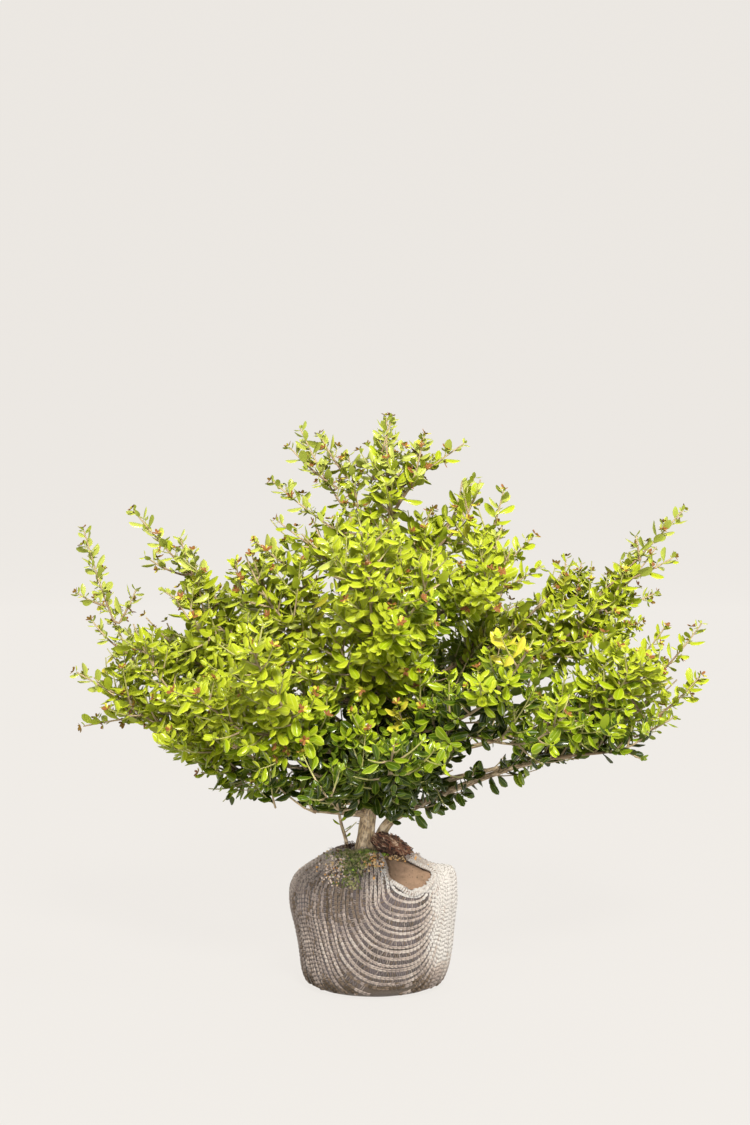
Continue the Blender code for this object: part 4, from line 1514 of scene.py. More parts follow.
@dataclass
class Seats:
    """Where leaves or berries sit, how they are turned, their size, shape and colour."""

    feet: list[Vector] = field(default_factory=list)
    turns: list[Triple] = field(default_factory=list)
    sizes: list[Triple] = field(default_factory=list)
    shapes: list[int] = field(default_factory=list)
    tints: list[int] = field(default_factory=list)

    def add(self, foot: Vector, way: Vector, face: Vector, size: object, shape: int, tint: int) -> None:
        """Adds one seat.

        Args:
            foot: its place.
            way: where its +Y points.
            face: about where its +Z points.
            size: scale, one number or three.
            shape: which shape.
            tint: which colour.
        """
        across = way.cross(face).normalized()
        face = across.cross(way).normalized()
        self.feet.append(foot)
        self.turns.append(tuple(Matrix((across, way, face)).transposed().to_euler()))
        self.sizes.append((size, size, size) if isinstance(size, float) else size)
        self.shapes.append(shape)
        self.tints.append(int(tint))

    def extend(self, more: "Seats") -> None:
        """Takes over other seats."""
        for held, taken in zip(vars(self).values(), vars(more).values()):
            held.extend(taken)

    def halves(self) -> tuple["Seats", "Seats"]:
        """The seats in front of the plant's middle, and those behind."""
        front, back = Seats(), Seats()
        for seat in zip(*vars(self).values()):
            half = front if seat[0].y < 0 else back
            for held, value in zip(vars(half).values(), seat):
                held.append(value)
        return front, back

    def points(self, name: str) -> Object:
        """The seats as points with attributes."""
        return points_with(
            name,
            self.feet,
            turn=("FLOAT_VECTOR", self.turns),
            size=("FLOAT_VECTOR", self.sizes),
            shape=("INT", self.shapes),
            tint=("INT", self.tints),
        )


@dataclass
class Growth:
    """One mass as it grows: what it is drawn from, and its twigs, leaves and berries."""

    chance: random.Random
    strands: Strands = field(default_factory=Strands)
    leaves: Seats = field(default_factory=Seats)
    berries: Seats = field(default_factory=Seats)


@dataclass
class Crown:
    """All masses of foliage: their twigs, leaves, young tips and berries."""

    rule: GrowthRule
    outline: Outline
    leader_steps: int = 22
    shoot_steps: int = 16
    twig_steps: int = 7
    spur_steps: int = 4
    shoot_radii: Pair = (0.0022, 0.0008)  # at the foot and the tip
    twig_radii: Pair = (0.00125, 0.0006)
    spur_radii: Pair = (0.0008, 0.0005)
    edge_radii: Pair = (0.0014, 0.0008)  # of a shoot that stands out of the body
    old_wood: Triple = (0.45, 0.5, 0.6)  # share in the older colour: shoots, twigs, those that stand out
    shoot_growth: float = 0.033  # of a shoot beyond the solid's twig, within the solid's leaf
    twig_growth: float = 0.018
    growth_lift: float = 0.25
    bare_end: float = 0.008  # the end of a twig that has leaves only
    free_tip: float = 0.045  # the same on the highest mass
    edge_bare_end: float = 0.014  # and on a shoot that stands out
    hanging: float = 0.010  # that a shoot's leaves may hang below the body
    edge_leaf: float = 0.88  # the size of the leaves on a shoot that stands out
    edge_spacing: float = 0.0074  # of them
    sprig_spacing: float = 0.011  # of the short twigs on such a shoot
    finer_spacing: float = 0.0082  # of the finer twigs on a shoot
    finer_length: float = 0.066
    finer_shortening: float = 0.45
    spur_shortening: float = 0.3
    sprig_shortening: float = 0.5
    spur_spacing: float = 0.017  # of the twigs on a side twig
    spur_length: float = 0.040
    inner_spacing: float = 0.0075  # of the spurs on boughs and trunk
    inner_length: float = 0.052
    leaf_spacing: float = 0.0060
    shoot_leaf_spacing: float = 0.0066
    stem_leaf_spacing: float = 0.0062  # of the single leaves on the lowest stem
    shoot_first: float = 0.020  # from a shoot's foot to its first leaf
    leaf_first: float = 0.006  # the same on a twig
    inner_first: float = 0.012  # on a spur of the trunk or a bough
    edge_first: float = 0.004  # and on a shoot that stands out
    spray_size: Pair = (0.87, 1.13)  # of all leaves of a twig
    leaf_size: Pair = (0.82, 1.12)  # and of each
    young_length: float = 0.020  # over which the leaves get smaller towards a tip
    leaf_angle: Pair = (math.radians(66), math.radians(38))  # at a twig's foot and tip
    leaf_rise: float = 0.16
    leaf_face: Triple = (0.50, 0.62, 0.42)  # along the twig, up, and outwards
    edge_face: Triple = (0.50, 0.55, 0.62)
    leaf_face_shake: float = 0.42
    limb_margin: float = 0.0025  # between leaves and limbs
    twig_margin: float = 0.003  # between finer twigs and limbs
    bare_tip: float = 0.004  # the very end of a twig, that has only its last leaves
    tip_leaves: int = 3
    rosette_leaves: int = 6
    rosette_size: float = 0.29
    rosette_shape: int = 3  # among the leaf shapes
    rosette_away: float = 0.0030  # beyond the twig's end
    rosette_share: Pair = (0.28, 0.6)  # of the twigs in the body, and of those that stand out
    bronze_share: float = 0.78  # of a rosette's leaves
    yellowed_share: float = 0.018  # of the twigs
    berry_share: float = 0.10
    berry_radius: float = 0.0021
    berry_stalk: float = 0.0055
    stalk_radius: float = 0.0003
    light_at: tuple[float, ...] = (0.300, 0.338, 0.374, 0.424, 0.585)  # levels where each colour ends
    reach_light: float = 0.55  # how much of a leaf's reach adds to the level: younger leaves and painted light outside, older leaves and painted shade inside
    light_middle: float = 0.06  # across, from where that reach counts, right of the middle so that the crown's left gets more painted light
    depth_share: float = 0.35  # how much of it counts towards the viewer and away
    tip_light: float = 0.050  # how much higher the level is at a twig's tip than at its foot
    end_light: float = 0.035  # and for its last leaves
    spray_light: float = 0.028  # by which it varies from twig to twig
    leaf_light: float = 0.016  # and from leaf to leaf
    patches: tuple[tuple[float, float, float, float], ...] = (  # across, height, width and change of level, of painted light and shade on parts of the crown
        (-0.070, 0.385, 0.060, 0.080), (0.055, 0.420, 0.050, -0.065), (0.020, 0.340, 0.035, 0.060),
        (0.120, 0.340, 0.055, -0.025), (0.235, 0.305, 0.060, -0.045), (-0.035, 0.262, 0.045, -0.055),
        (-0.200, 0.280, 0.050, 0.040), (0.045, 0.250, 0.035, -0.030), (-0.040, 0.480, 0.045, -0.035),
        (0.120, 0.400, 0.040, 0.020),
    )
    reach_margin: float = 0.004  # that all leaves keep inside the solids' box

    def level(self, place: Vector) -> float:
        """How high a place is, with what its reach and the patches add: leaves are lighter above and outside,
        as younger leaves and painted light, and darker low and inside, as older leaves and painted shade; the
        patches are painted light and shade.
        """
        reach = math.hypot(place.x - self.light_middle, place.y * self.depth_share)
        level = place.z + self.reach_light * reach
        for x, z, wide, change in self.patches:
            level += change * math.exp(-((place.x - x) ** 2 + (place.z - z) ** 2) / wide**2)
        return level

    def tint_of(self, level: float) -> Tint:
        """The colour of a leaf at this level."""
        return Tint(sum(level > bound for bound in self.light_at))

    def inside(self, place: Vector) -> bool:
        """Whether a place is within the reach of the solids."""
        low, high = CAD_BOX
        margin = self.reach_margin
        return all(low[axis] + margin < place[axis] < high[axis] - margin for axis in range(3))

    def leaf(self, grown: Growth, foot: Vector, way: Vector, face: Vector, size: float, tint: Tint,
             free: bool = False, hang: float = 0.0) -> None:
        """Seats one leaf, where it is clear of the limbs and, unless it is free, within the body.

        Args:
            grown: takes it.
            foot: where it sits.
            way: where it points.
            face: about where its upper side faces.
            size: scale.
            tint: its colour.
            free: whether it may stand out of the body.
            hang: how far it may hang below it.
        """
        tip = foot + way * LEAF_SHAPES[0].length * size
        places = np.array([tip, foot.lerp(tip, 0.6)], float)
        if not self.inside(tip) or (self.spaces.from_limbs(places) < self.limb_margin).any():
            return
        places[:, 2] += hang
        if (not free or way.z < -0.25) and not self.outline.holds(places).all():
            return
        grown.leaves.add(foot, way, face, size, grown.chance.randrange(len(LEAF_SHAPES)), tint)

    def leaves_along(self, grown: Growth, path: Line, radius: float, first: float, spacing: float = 0.0,
                     free: bool = False, hang: float = 0.0) -> None:
        """Seats the leaves, tip and berries of one twig.

        Args:
            grown: takes them.
            path: the twig.
            radius: its radius.
            first: how far from its foot the first leaf sits.
            spacing: of its leaves, else the usual one.
            free: whether it may reach out of the body.
            hang: how far its leaves may hang below that.
        """
        chance, length, away = grown.chance, length_of(path), first
        spacing = spacing or self.leaf_spacing
        turn = chance.uniform(0, math.tau)
        spray = chance.gauss(0, self.spray_light)
        yellowed = chance.random() < self.yellowed_share
        size_of_spray = chance.uniform(*self.spray_size) * (self.edge_leaf if free else 1.0)
        wide, narrow = self.leaf_angle
        along, up, outer = self.edge_face if free else self.leaf_face
        while away < length - self.bare_tip:
            share = away / length
            foot, way = on_path(path, share)
            turn += GOLDEN_TURN + chance.uniform(-0.35, 0.35)
            level, lifted = side_ways(way)
            side = (level * math.cos(turn) + lifted * 0.85 * math.sin(turn)).normalized()
            angle = (wide + (narrow - wide) * share) * chance.uniform(0.8, 1.2)
            out = (way * math.cos(angle) + side * math.sin(angle) + UP * self.leaf_rise).normalized()
            outwards = Vector((foot.x, foot.y, 0)).normalized()
            if free:
                outwards = Vector((0, 1 if chance.random() < 0.3 else -1, 0))
            face = way * along * math.sin(angle) - side * along * math.cos(angle) + UP * up + outwards * outer
            face = shaken(chance, face.normalized(), self.leaf_face_shake)
            near_tip = max(away - (length - self.young_length), 0.0) / self.young_length
            size = size_of_spray * chance.uniform(*self.leaf_size) * (1 - 0.50 * near_tip)
            light = self.level(foot) + spray + (share - 0.5) * self.tip_light
            light += chance.gauss(0, self.leaf_light)
            tint = Tint.YELLOW if yellowed and chance.random() < 0.7 else self.tint_of(light)
            self.leaf(grown, foot + out * radius * 0.6, out, face, size, tint, free, hang)
            if tint in (Tint.DARK, Tint.GREEN, Tint.BRIGHT) and chance.random() < self.berry_share:
                self.berry_cluster(grown, foot, way, side)
            away += spacing * chance.uniform(0.8, 1.25) * (1.1 - 0.35 * share)
        self.tip(grown, path, size_of_spray, spray, free)

    def tip(self, grown: Growth, path: Line, size: float, spray: float, free: bool) -> None:
        """Seats the last leaves of a twig and, in the light, its rosette of bronze young leaves."""
        chance = grown.chance
        end, way = on_path(path, 1.0)
        level, lifted = side_ways(way)
        turn = chance.uniform(0, math.tau)
        light = self.level(end) + spray + self.end_light
        for number in range(self.tip_leaves):
            turn += math.tau / self.tip_leaves
            foot = end - way * 0.0012 * number
            side = level * math.cos(turn) + lifted * math.sin(turn)
            out = shaken(chance, way + side * chance.uniform(0.7, 1.3), 0.12)
            face = shaken(chance, (way * 0.9 - side * 0.5 + UP * 0.4).normalized(), 0.2)
            small = size * chance.uniform(0.32, 0.55)
            self.leaf(grown, foot, out, face, small, self.tint_of(light), free)
        if light < self.light_at[2] + 0.02 or not self.inside(end + way * 0.008):
            return
        if chance.random() > self.rosette_share[free]:
            return
        for number in range(self.rosette_leaves):
            turn += GOLDEN_TURN
            side = level * math.cos(turn) + lifted * math.sin(turn)
            out = shaken(chance, way + side * chance.uniform(0.5, 1.6), 0.1)
            face = shaken(chance, (way * 0.7 - side * 0.6).normalized(), 0.3)
            tint = Tint.BRONZE if chance.random() < self.bronze_share else Tint.YELLOW
            young = self.rosette_size * chance.uniform(0.7, 1.2)
            grown.leaves.add(end + way * self.rosette_away, out, face, young, self.rosette_shape, tint)

    def berry_cluster(self, grown: Growth, foot: Vector, way: Vector, side: Vector) -> None:
        """Seats one to three berries on stalks in a leaf's axil."""
        chance = grown.chance
        for _ in range(chance.choice((1, 1, 2, 3))):
            out = shaken(chance, way * 0.6 + side, 0.5)
            end = foot + out * self.berry_stalk * chance.uniform(0.7, 1.2)
            stalk = [foot, foot.lerp(end, 0.5) + UP * 0.0004, end]
            grown.strands.add(stalk, [self.stalk_radius] * 3, [2] * 3)
            grown.berries.add(end, out, side_ways(out)[0], self.berry_radius * chance.uniform(0.8, 1.1), 0, 0)

    def twig(self, grown: Growth, path: Line, ends: Pair, old: float, tint: int, first: float,
             **habit: object) -> None:
        """Adds one twig with its leaves.

        Args:
            grown: takes them.
            path: its points.
            ends: its radii at the foot and the tip.
            old: the share of it that has its first colour.
            tint: the number of that colour, which the next one follows.
            first: how far from its foot the first leaf sits.
            habit: what else leaves_along takes.
        """
        count = len(path)
        grown.strands.add(path, tapering(*ends, count), [tint + (n >= count * old) for n in range(count)])
        self.leaves_along(grown, path, ends[0], first, **habit)

    def grown_on(self, path: Line, length: float) -> list[Vector]:
        """A path with its end grown on by this length, where the solid has its last leaf."""
        count = max(round(length / (path[-1] - path[-2]).length), 1)
        way = (path[-1] - path[-2]).normalized()
        made = list(path)
        for _ in range(count):
            way = (way + UP * self.growth_lift / count).normalized()
            after = made[-1] + way * length / count
            if not self.inside(after + way * 0.010):
                break
            made.append(after)
        return made

    def side_twigs(self, number: int, shoot: Line, coarse: Line, chance: random.Random) -> list[list[Vector]]:
        """The side twigs that the solid has, drawn again with more steps.

        Args:
            number: of the mass.
            shoot: the smooth shoot.
            coarse: the same shoot as the solid has it.
            chance: the solid's own draws.

        Returns:
            The paths.
        """
        rule = self.rule
        twigs = []
        length = length_of(coarse)
        turn = chance.uniform(0, math.tau)
        away = rule.twig_first
        while away < length - rule.twig_last:
            turn += GOLDEN_TURN
            share = away / length
            wanted = rule.twig_length * (1 - rule.twig_shortening * share) * chance.uniform(0.85, 1.15)
            for size in rule.twig_tries:
                state = chance.getstate()
                twig = rule.side_twig(chance, coarse, share, turn, wanted * size, 1)
                free_part = part_of(twig, rule.twig_free, 1.0, 6)
                if self.spaces.holds(number, free_part, rule.space_margin + rule.twig_radius):
                    after = chance.getstate()
                    chance.setstate(state)
                    twigs.append(rule.side_twig(chance, shoot, share, turn, wanted * size, self.twig_steps))
                    chance.setstate(after)
                    break
            away += rule.twig_spacing * chance.uniform(0.85, 1.15)
        return twigs

    def finer_twigs(self, chance: random.Random, path: Line, spacing: float, wanted: float, shortening: float,
                    steps: int, bare_end: float, free: bool = False) -> list[list[Vector]]:
        """Twigs that carry the rule on between those of the solid.

        Args:
            chance: what is drawn from.
            path: what they leave.
            spacing: how far apart they are.
            wanted: how long the first ones are.
            shortening: how much shorter the last ones are.
            steps: their straight pieces.
            bare_end: the length before the tip that has none.
            free: whether they may reach out of the body.

        Returns:
            The paths.
        """
        twigs = []
        length = length_of(path)
        turn = chance.uniform(0, math.tau)
        away = spacing * chance.uniform(0.3, 0.9)
        while away < length - bare_end:
            turn += GOLDEN_TURN + chance.uniform(-0.3, 0.3)
            share = away / length
            size = wanted * (1 - shortening * share) * chance.uniform(0.55, 1.2)
            twig = self.rule.side_twig(chance, path, share, turn, size, steps)
            places = np.array(part_of(twig, 0.4, 1.0, 3), float)
            clear = self.spaces.from_limbs(places).min() > self.twig_margin
            if clear and (free or self.outline.holds(places).all()):
                twigs.append(twig)
            away += spacing * chance.uniform(0.75, 1.25)
        return twigs

    def grow(self, number: int, mass: Mass) -> Growth:
        """Grows one mass.

        Args:
            number: of the mass.
            mass: the mass.

        Returns:
            Its twigs, leaves and berries.
        """
        drawn = random.Random(f"{mass.name} twigs 7")
        grown = Growth(random.Random(f"{mass.name} finer 11"))
        chance = grown.chance
        smooth = self.rule.shoots_of(mass, self.leader_steps, self.shoot_steps)
        coarse = self.rule.shoots_of(mass, *COARSE)
        on_top = mass.carries_on == "trunk"
        habit = {"spacing": self.shoot_leaf_spacing, "free": on_top, "hang": self.hanging}
        for inner_part, plain in zip(smooth, coarse):
            shoot = self.grown_on(inner_part, self.shoot_growth)
            if not on_top:
                shoot = self.outline.body_part(shoot)
            self.twig(grown, shoot, self.shoot_radii, self.old_wood[0], 0, self.shoot_first, **habit)
            twigs = [
                self.grown_on(twig, self.twig_growth)
                for twig in self.side_twigs(number, inner_part, plain, drawn)
                if self.outline.holds(np.array(twig[3:], float)).all()
            ]
            finer = self.finer_twigs(
                chance, shoot, self.finer_spacing, self.finer_length, self.finer_shortening, self.twig_steps,
                self.free_tip if on_top else self.bare_end,
            )
            for twig in twigs + finer:
                self.twig(grown, twig, self.twig_radii, self.old_wood[1], 1, self.leaf_first)
            for twig in twigs:
                for spur in self.finer_twigs(
                    chance, twig, self.spur_spacing, self.spur_length, self.spur_shortening, self.spur_steps,
                    self.bare_end,
                ):
                    self.twig(grown, spur, self.spur_radii, 1.0, 2, self.leaf_first)
        for spur in self.inner_spurs(mass, chance):
            self.twig(grown, spur, self.spur_radii, 1.0, 1, self.inner_first)
        own = [point for path in smooth for point in path]
        own += [self.rule.trunk_at(0.20 + 0.01 * step) for step in range(30)]
        for row in EDGE_SHOOTS.get(mass.name, ()):
            edge = EdgeShoot(*row)
            shoot = edge.path(self.rule, self.outline, own, mass.tips()[0].y, self.shoot_steps)
            own += shoot[4:]
            self.edge_shoot(grown, shoot, edge.sprig)
        return grown

    def edge_shoot(self, grown: Growth, shoot: Line, sprig: float) -> None:
        """Dresses a shoot that stands out of the body.

        Args:
            grown: takes it, its side twigs and their leaves.
            shoot: its points.
            sprig: the length of its side twigs.
        """
        habit = {"spacing": self.edge_spacing, "free": True}
        self.twig(grown, shoot, self.edge_radii, self.old_wood[2], 0, self.edge_first, **habit)
        for twig in self.finer_twigs(
            grown.chance, shoot, self.sprig_spacing, sprig, self.sprig_shortening, self.spur_steps,
            self.edge_bare_end, True,
        ):
            self.twig(grown, twig, self.spur_radii, 1.0, 2, self.edge_first, **habit)

    def inner_spurs(self, mass: Mass, chance: random.Random) -> list[list[Vector]]:
        """Short leafy twigs on a mass's bough or, for the inner masses, on the trunk.

        Args:
            mass: the mass.
            chance: what is drawn from.

        Returns:
            The paths.
        """
        if mass.bare:
            limb, _ = self.rule.bough_of(mass, 8)
        elif mass.carries_on:
            limb = stem_path(mass.carries_on)[3 if mass.carries_on == "second_stem" else 4 :]
        else:
            limb = [self.rule.trunk_at(mass.fork - 0.03), self.rule.trunk_at(mass.fork + 0.05)]
        length, steps = self.inner_length, self.spur_steps
        return self.finer_twigs(chance, limb, self.inner_spacing, length, 0.0, steps, 0.0)

    def low_leaves(self) -> Growth:
        """The single leaves that hang on the lowest stem, and the sucker's side twig and leaves."""
        grown = Growth(random.Random("low leaves 5"))
        chance = grown.chance
        stem = stem_path("second_stem")[3:]
        length, away = length_of(stem), 0.012
        while away < length - self.bare_tip:
            foot, way = on_path(stem, away / length)
            level, lifted = side_ways(way)
            turn = chance.uniform(0, math.tau)
            side = (level * math.cos(turn) + lifted * (math.sin(turn) - 0.6)).normalized()
            out = (way * 0.5 + side - UP * 0.25).normalized()
            tint = Tint.DARK if away < 0.7 * length else Tint.GREEN
            face = shaken(chance, Vector((0.3, -0.8, 0.5)), 0.3)
            size, shape = chance.uniform(0.85, 1.15), chance.randrange(len(LEAF_SHAPES))
            grown.leaves.add(foot + side * 0.0038, out, face, size, shape, tint)
            away += self.stem_leaf_spacing * chance.uniform(0.6, 1.4)
        sucker = stem_path("sucker")
        fork = on_path(sucker, 0.5)[0]
        twig = [fork, fork + Vector((0.007, 0, 0.006)), fork + Vector((0.014, -0.001, 0.013))]
        grown.strands.add(twig, [0.0008, 0.0007, 0.0005], [1, 1, 2])
        seats = [on_path(sucker, share) for share in (0.4, 0.55, 0.65, 0.74, 0.82, 0.92, 0.97, 1.0)]
        for foot, way in [*seats, on_path(twig, 0.8), on_path(twig, 1.0)]:
            out = shaken(chance, way + Vector((chance.choice((-1, 1)), -0.3, 0)), 0.3)
            tint = chance.choice((Tint.GREEN, Tint.BRIGHT, Tint.DARK))
            face = shaken(chance, UP, 0.3)
            grown.leaves.add(foot + out * 0.001, out, face, chance.uniform(0.42, 0.62), 0, tint)
        return grown

    def build(self) -> None:
        """Grows and hands over all masses, and the berries of them all."""
        self.spaces = Spaces(self.rule)
        shapes = shape_collection("leaf", [s.mesh(f"leaf_{n}") for n, s in enumerate(LEAF_SHAPES)])
        finishes = [material for finish in LEAF_FINISHES for material in finish.materials()]
        leaf_tree = seat_tree("leaves_on_seats", finishes, 4)
        twig_tree = tube_tree("twigs_on_strands", [finish.material() for finish in TWIG_FINISHES])
        berries = Seats()
        for number, mass in enumerate(MASSES):
            grown = self.grow(number, mass)
            node = f"foliage_{mass.name}"
            dressed(twig_tree.grown(grown.strands.seed(), f"twigs_{mass.name}"), "bark", node)
            leaves = leaf_tree.grown(grown.leaves.points("seats"), f"leaves_{mass.name}", Shapes=shapes)
            dressed(leaves, "foliage", node)
            berries.extend(grown.berries)
        grown = self.low_leaves()
        dressed(twig_tree.grown(grown.strands.seed(), "twigs_sucker"), "bark")
        dressed(leaf_tree.grown(grown.leaves.points("seats"), "leaves_low_stems", Shapes=shapes), "foliage")
        shape = bmesh.new()
        bmesh.ops.create_icosphere(shape, subdivisions=1, radius=1.0)
        shapes = shape_collection("berry", [mesh_from(shape, "berry")])
        tree = seat_tree("berries_on_stalks", [BERRY_FINISH.material()])
        dressed(tree.grown(berries.points("berry_seats"), "berries", Shapes=shapes), "foliage")


# The root ball


class Yarn(IntEnum):
    """Colours of the wrap's yarn, from soiled to bleached, the palest ones also painted light on the ball's
    right side, and that of the threads between.
    """

    SOIL = 0
    BROWN = 1
    GREY = 2
    BEIGE = 3
    CREAM = 4
    PALE = 5
    THREAD = 6


YARN_FINISHES = (
    PlainFinish("yarn_soil", (0.068, 0.045, 0.025), 0.95, 0.1),
    PlainFinish("yarn_brown", (0.134, 0.094, 0.063), 0.95, 0.2),
    PlainFinish("yarn_grey", (0.228, 0.182, 0.155), 0.95, 0.25),
    PlainFinish("yarn_beige", (0.318, 0.260, 0.220), 0.95, 0.25),
    PlainFinish("yarn_cream", (0.400, 0.344, 0.298), 0.95, 0.25),
    PlainFinish("yarn_pale", (0.490, 0.458, 0.425), 0.95, 0.25),
    PlainFinish("yarn_thread", (0.120, 0.096, 0.090), 0.95, 0.2),
)

CRUMB_FINISHES = (
    PlainFinish("crumb_dark", (0.130, 0.082, 0.048), 0.95),
    PlainFinish("crumb_tan", (0.600, 0.430, 0.230), 0.95),
    PlainFinish("crumb_orange", (0.620, 0.340, 0.120), 0.95),
    PlainFinish("crumb_pale", (0.700, 0.580, 0.490), 0.95),
)

MOSS_FINISHES = (
    PlainFinish("moss_dark", (0.120, 0.145, 0.040), 0.9),
    PlainFinish("moss_green", (0.250, 0.290, 0.080), 0.9),
    PlainFinish("moss_olive", (0.470, 0.410, 0.210), 0.9),
    PlainFinish("moss_bright", (0.400, 0.580, 0.070), 0.85),
)

SLIVER_FINISHES = (
    # the darkest slivers: dark bark, and painted shade in the gaps of the mulch
    PlainFinish("sliver_dark", (0.040, 0.019, 0.012), 0.9),
    PlainFinish("sliver_red", (0.165, 0.068, 0.037), 0.9),
    PlainFinish("sliver_brown", (0.240, 0.138, 0.080), 0.9),
    PlainFinish("sliver_tan", (0.440, 0.300, 0.200), 0.9),
)


def turns_about(turns: np.ndarray, middle: float) -> np.ndarray:
    """How far turns are from one of them, from minus to plus half a circle."""
    return (turns - middle + math.pi) % math.tau - math.pi


@dataclass
class BallForm:
    """The root ball's surface, as the solids have it, and the opening in its wrap."""

    height: float = 0.150
    dome: float = 0.0015  # that the middle of its top stands higher
    section_points: tuple[Pair, ...] = (
        (0.064, 0.0), (0.076, 0.007), (0.083, 0.028), (0.087, 0.068),
        (0.0905, 0.102), (0.0855, 0.124), (0.069, 0.1395), (0.041, 0.150),
    )
    opening_points: tuple[Pair, ...] = (
        (-0.042, 0.010), (-0.030, -0.006), (-0.016, -0.018), (-0.002, -0.027), (0.0080, -0.041),
        (0.0130, -0.0590), (0.0155, -0.0745), (0.0225, -0.0785), (0.0300, -0.0795), (0.0380, -0.0790),
        (0.0445, -0.0760), (0.0525, -0.0705), (0.0585, -0.0645), (0.0625, -0.0560), (0.0620, -0.0490),
        (0.0480, -0.0455), (0.0360, -0.0390), (0.0400, -0.028), (0.046, -0.008), (0.046, 0.020),
        (0.024, 0.042), (-0.020, 0.038),
    )
    widest_at: float = 0.102  # the height from which the section runs inwards
    opening_from: float = 0.104  # the height above which the wrap is open inside that outline
    lump: float = 0.0007
    corner_turn: float = math.radians(-16)  # where the right shoulder stands out
    corner_swell: float = 0.050
    corner_lift: float = 0.006
    sag_turn: float = math.radians(34)  # where the shoulder sags
    sag: float = 0.015
    lip: float = 0.0016  # that the wrap swells by at its opening
    lip_width: float = 0.006

    def __post_init__(self) -> None:
        """Draws the section and the opening's outline as smooth lines."""
        self.section = smooth_line([*self.section_points, (0.0, self.height + self.dome)], 10)
        steps = np.linalg.norm(np.diff(self.section, axis=0), axis=1)
        self.lengths = np.concatenate([[0.0], np.cumsum(steps)])
        self.opening = smooth_line(self.opening_points, 6, closed=True)
        turns, alongs = self.above(self.opening)
        self.lip_line = self.points(turns, alongs, lipped=False)

    def along_at(self, height: object) -> np.ndarray:
        """How far along the section, from the foot, it reaches this height."""
        return np.interp(height, self.section[:, 1], self.lengths)

    def swelling(self, turns: np.ndarray, heights: np.ndarray) -> np.ndarray:
        """How much the radius is swollen or drawn in, as the solids have it."""
        level = np.minimum(heights / self.height, 1.0)
        left = np.maximum(-np.cos(turns), 0)
        bulge = 0.035 * np.exp(-(((level - 0.62) / 0.25) ** 2))
        waist = -0.02 * np.exp(-(((level - 0.28) / 0.2) ** 2))
        shoulder = -0.06 * np.exp(-(((level - 0.93) / 0.07) ** 2))
        lumps = 0.014 * np.cos(2 * turns + 0.7) + 0.011 * np.cos(3 * turns - 0.4 + 2.2 * level)
        return 1 + (bulge + waist + shoulder) * left + lumps * np.minimum(3 * level, 1)

    def bare_points(self, turns: np.ndarray, alongs: np.ndarray) -> np.ndarray:
        """The surface's points with its lumps, but no lip."""
        radii = np.interp(alongs, self.lengths, self.section[:, 0])
        heights = np.interp(alongs, self.lengths, self.section[:, 1])
        radii = radii * self.swelling(turns, heights)
        x, y = radii * np.cos(turns), radii * np.sin(turns)
        waves = np.sin(83 * x + 1.3) * np.sin(71 * y + 0.5) * np.sin(67 * heights + 2)
        ripples = np.sin(190 * x + 230 * heights) * np.sin(210 * y + 1.7)
        swell = 1 + self.lump * (waves + 0.35 * ripples) / 0.085
        from_corner = turns_about(turns, self.corner_turn) / 0.38
        corner = np.exp(-(from_corner**2) - ((heights - 0.130) / 0.014) ** 2)
        sag = np.exp(-((turns_about(turns, self.sag_turn) / 0.85) ** 2))
        sag *= np.clip((radii - 0.030) / 0.030, 0, 1)
        sag *= np.clip((heights - 0.106) / 0.030, 0, 1) * np.clip((0.084 - radii) / 0.016, 0, 1)
        swell = swell + self.corner_swell * corner
        return np.stack([x * swell, y * swell, heights - self.sag * sag + self.corner_lift * corner], axis=1)

    def normals(self, turns: np.ndarray, alongs: np.ndarray) -> np.ndarray:
        """The ways out of the surface."""
        here = self.bare_points(turns, alongs)
        around_it = self.bare_points(turns + 0.01, alongs) - here
        near_top = alongs > self.lengths[-1] - 0.002
        reach = np.where(near_top, -0.001, 0.001)
        up = (self.bare_points(turns, alongs + reach) - here) * np.sign(reach)[:, None]
        ways = np.cross(around_it, up)
        return ways / np.linalg.norm(ways, axis=1)[:, None]

    def points(self, turns: object, alongs: object, out: float = 0.0, lipped: bool = True) -> np.ndarray:
        """Points of the wrap's surface.

        Args:
            turns: their bearings in radians.
            alongs: how far they are along the section.
            out: how far out of the surface.
            lipped: whether the surface swells at the opening.

        Returns:
            The points, one a row.
        """
        turns, alongs = np.asarray(turns, float), np.asarray(alongs, float)
        here = self.bare_points(turns, alongs)
        lift = np.full(len(here), out)
        if lipped:
            away = distances(here, self.lip_line, np.roll(self.lip_line, -1, 0)).min(1)
            lift += self.lip * np.exp(-((away / self.lip_width) ** 2))
        return here + self.normals(turns, alongs) * lift[:, None]

    def above(self, flat: np.ndarray) -> tuple[np.ndarray, np.ndarray]:
        """Where the upper part of the surface lies over points of the ground plane.

        Args:
            flat: the points, one a row.

        Returns:
            Their turns, and how far along the section.
        """
        turns = np.arctan2(flat[:, 1], flat[:, 0])
        reach = np.hypot(flat[:, 0], flat[:, 1])
        upper = self.section[:, 1] >= self.widest_at
        radii, alongs = self.section[upper, 0][::-1], self.lengths[upper][::-1]
        found = np.interp(reach, radii, alongs)
        for _ in range(3):
            heights = np.interp(found, self.lengths, self.section[:, 1])
            found = np.interp(reach / self.swelling(turns, heights), radii, alongs)
        return turns, found

    def from_opening(self, places: np.ndarray) -> np.ndarray:
        """How far places on the wrap are from its opening's edge, less than 0 inside."""
        inside = inside_polygon(places[:, :2], self.opening[:, :2]) & (places[:, 2] > self.opening_from)
        away = distances(places, self.lip_line, np.roll(self.lip_line, -1, 0)).min(1)
        return np.where(inside, -away, away)

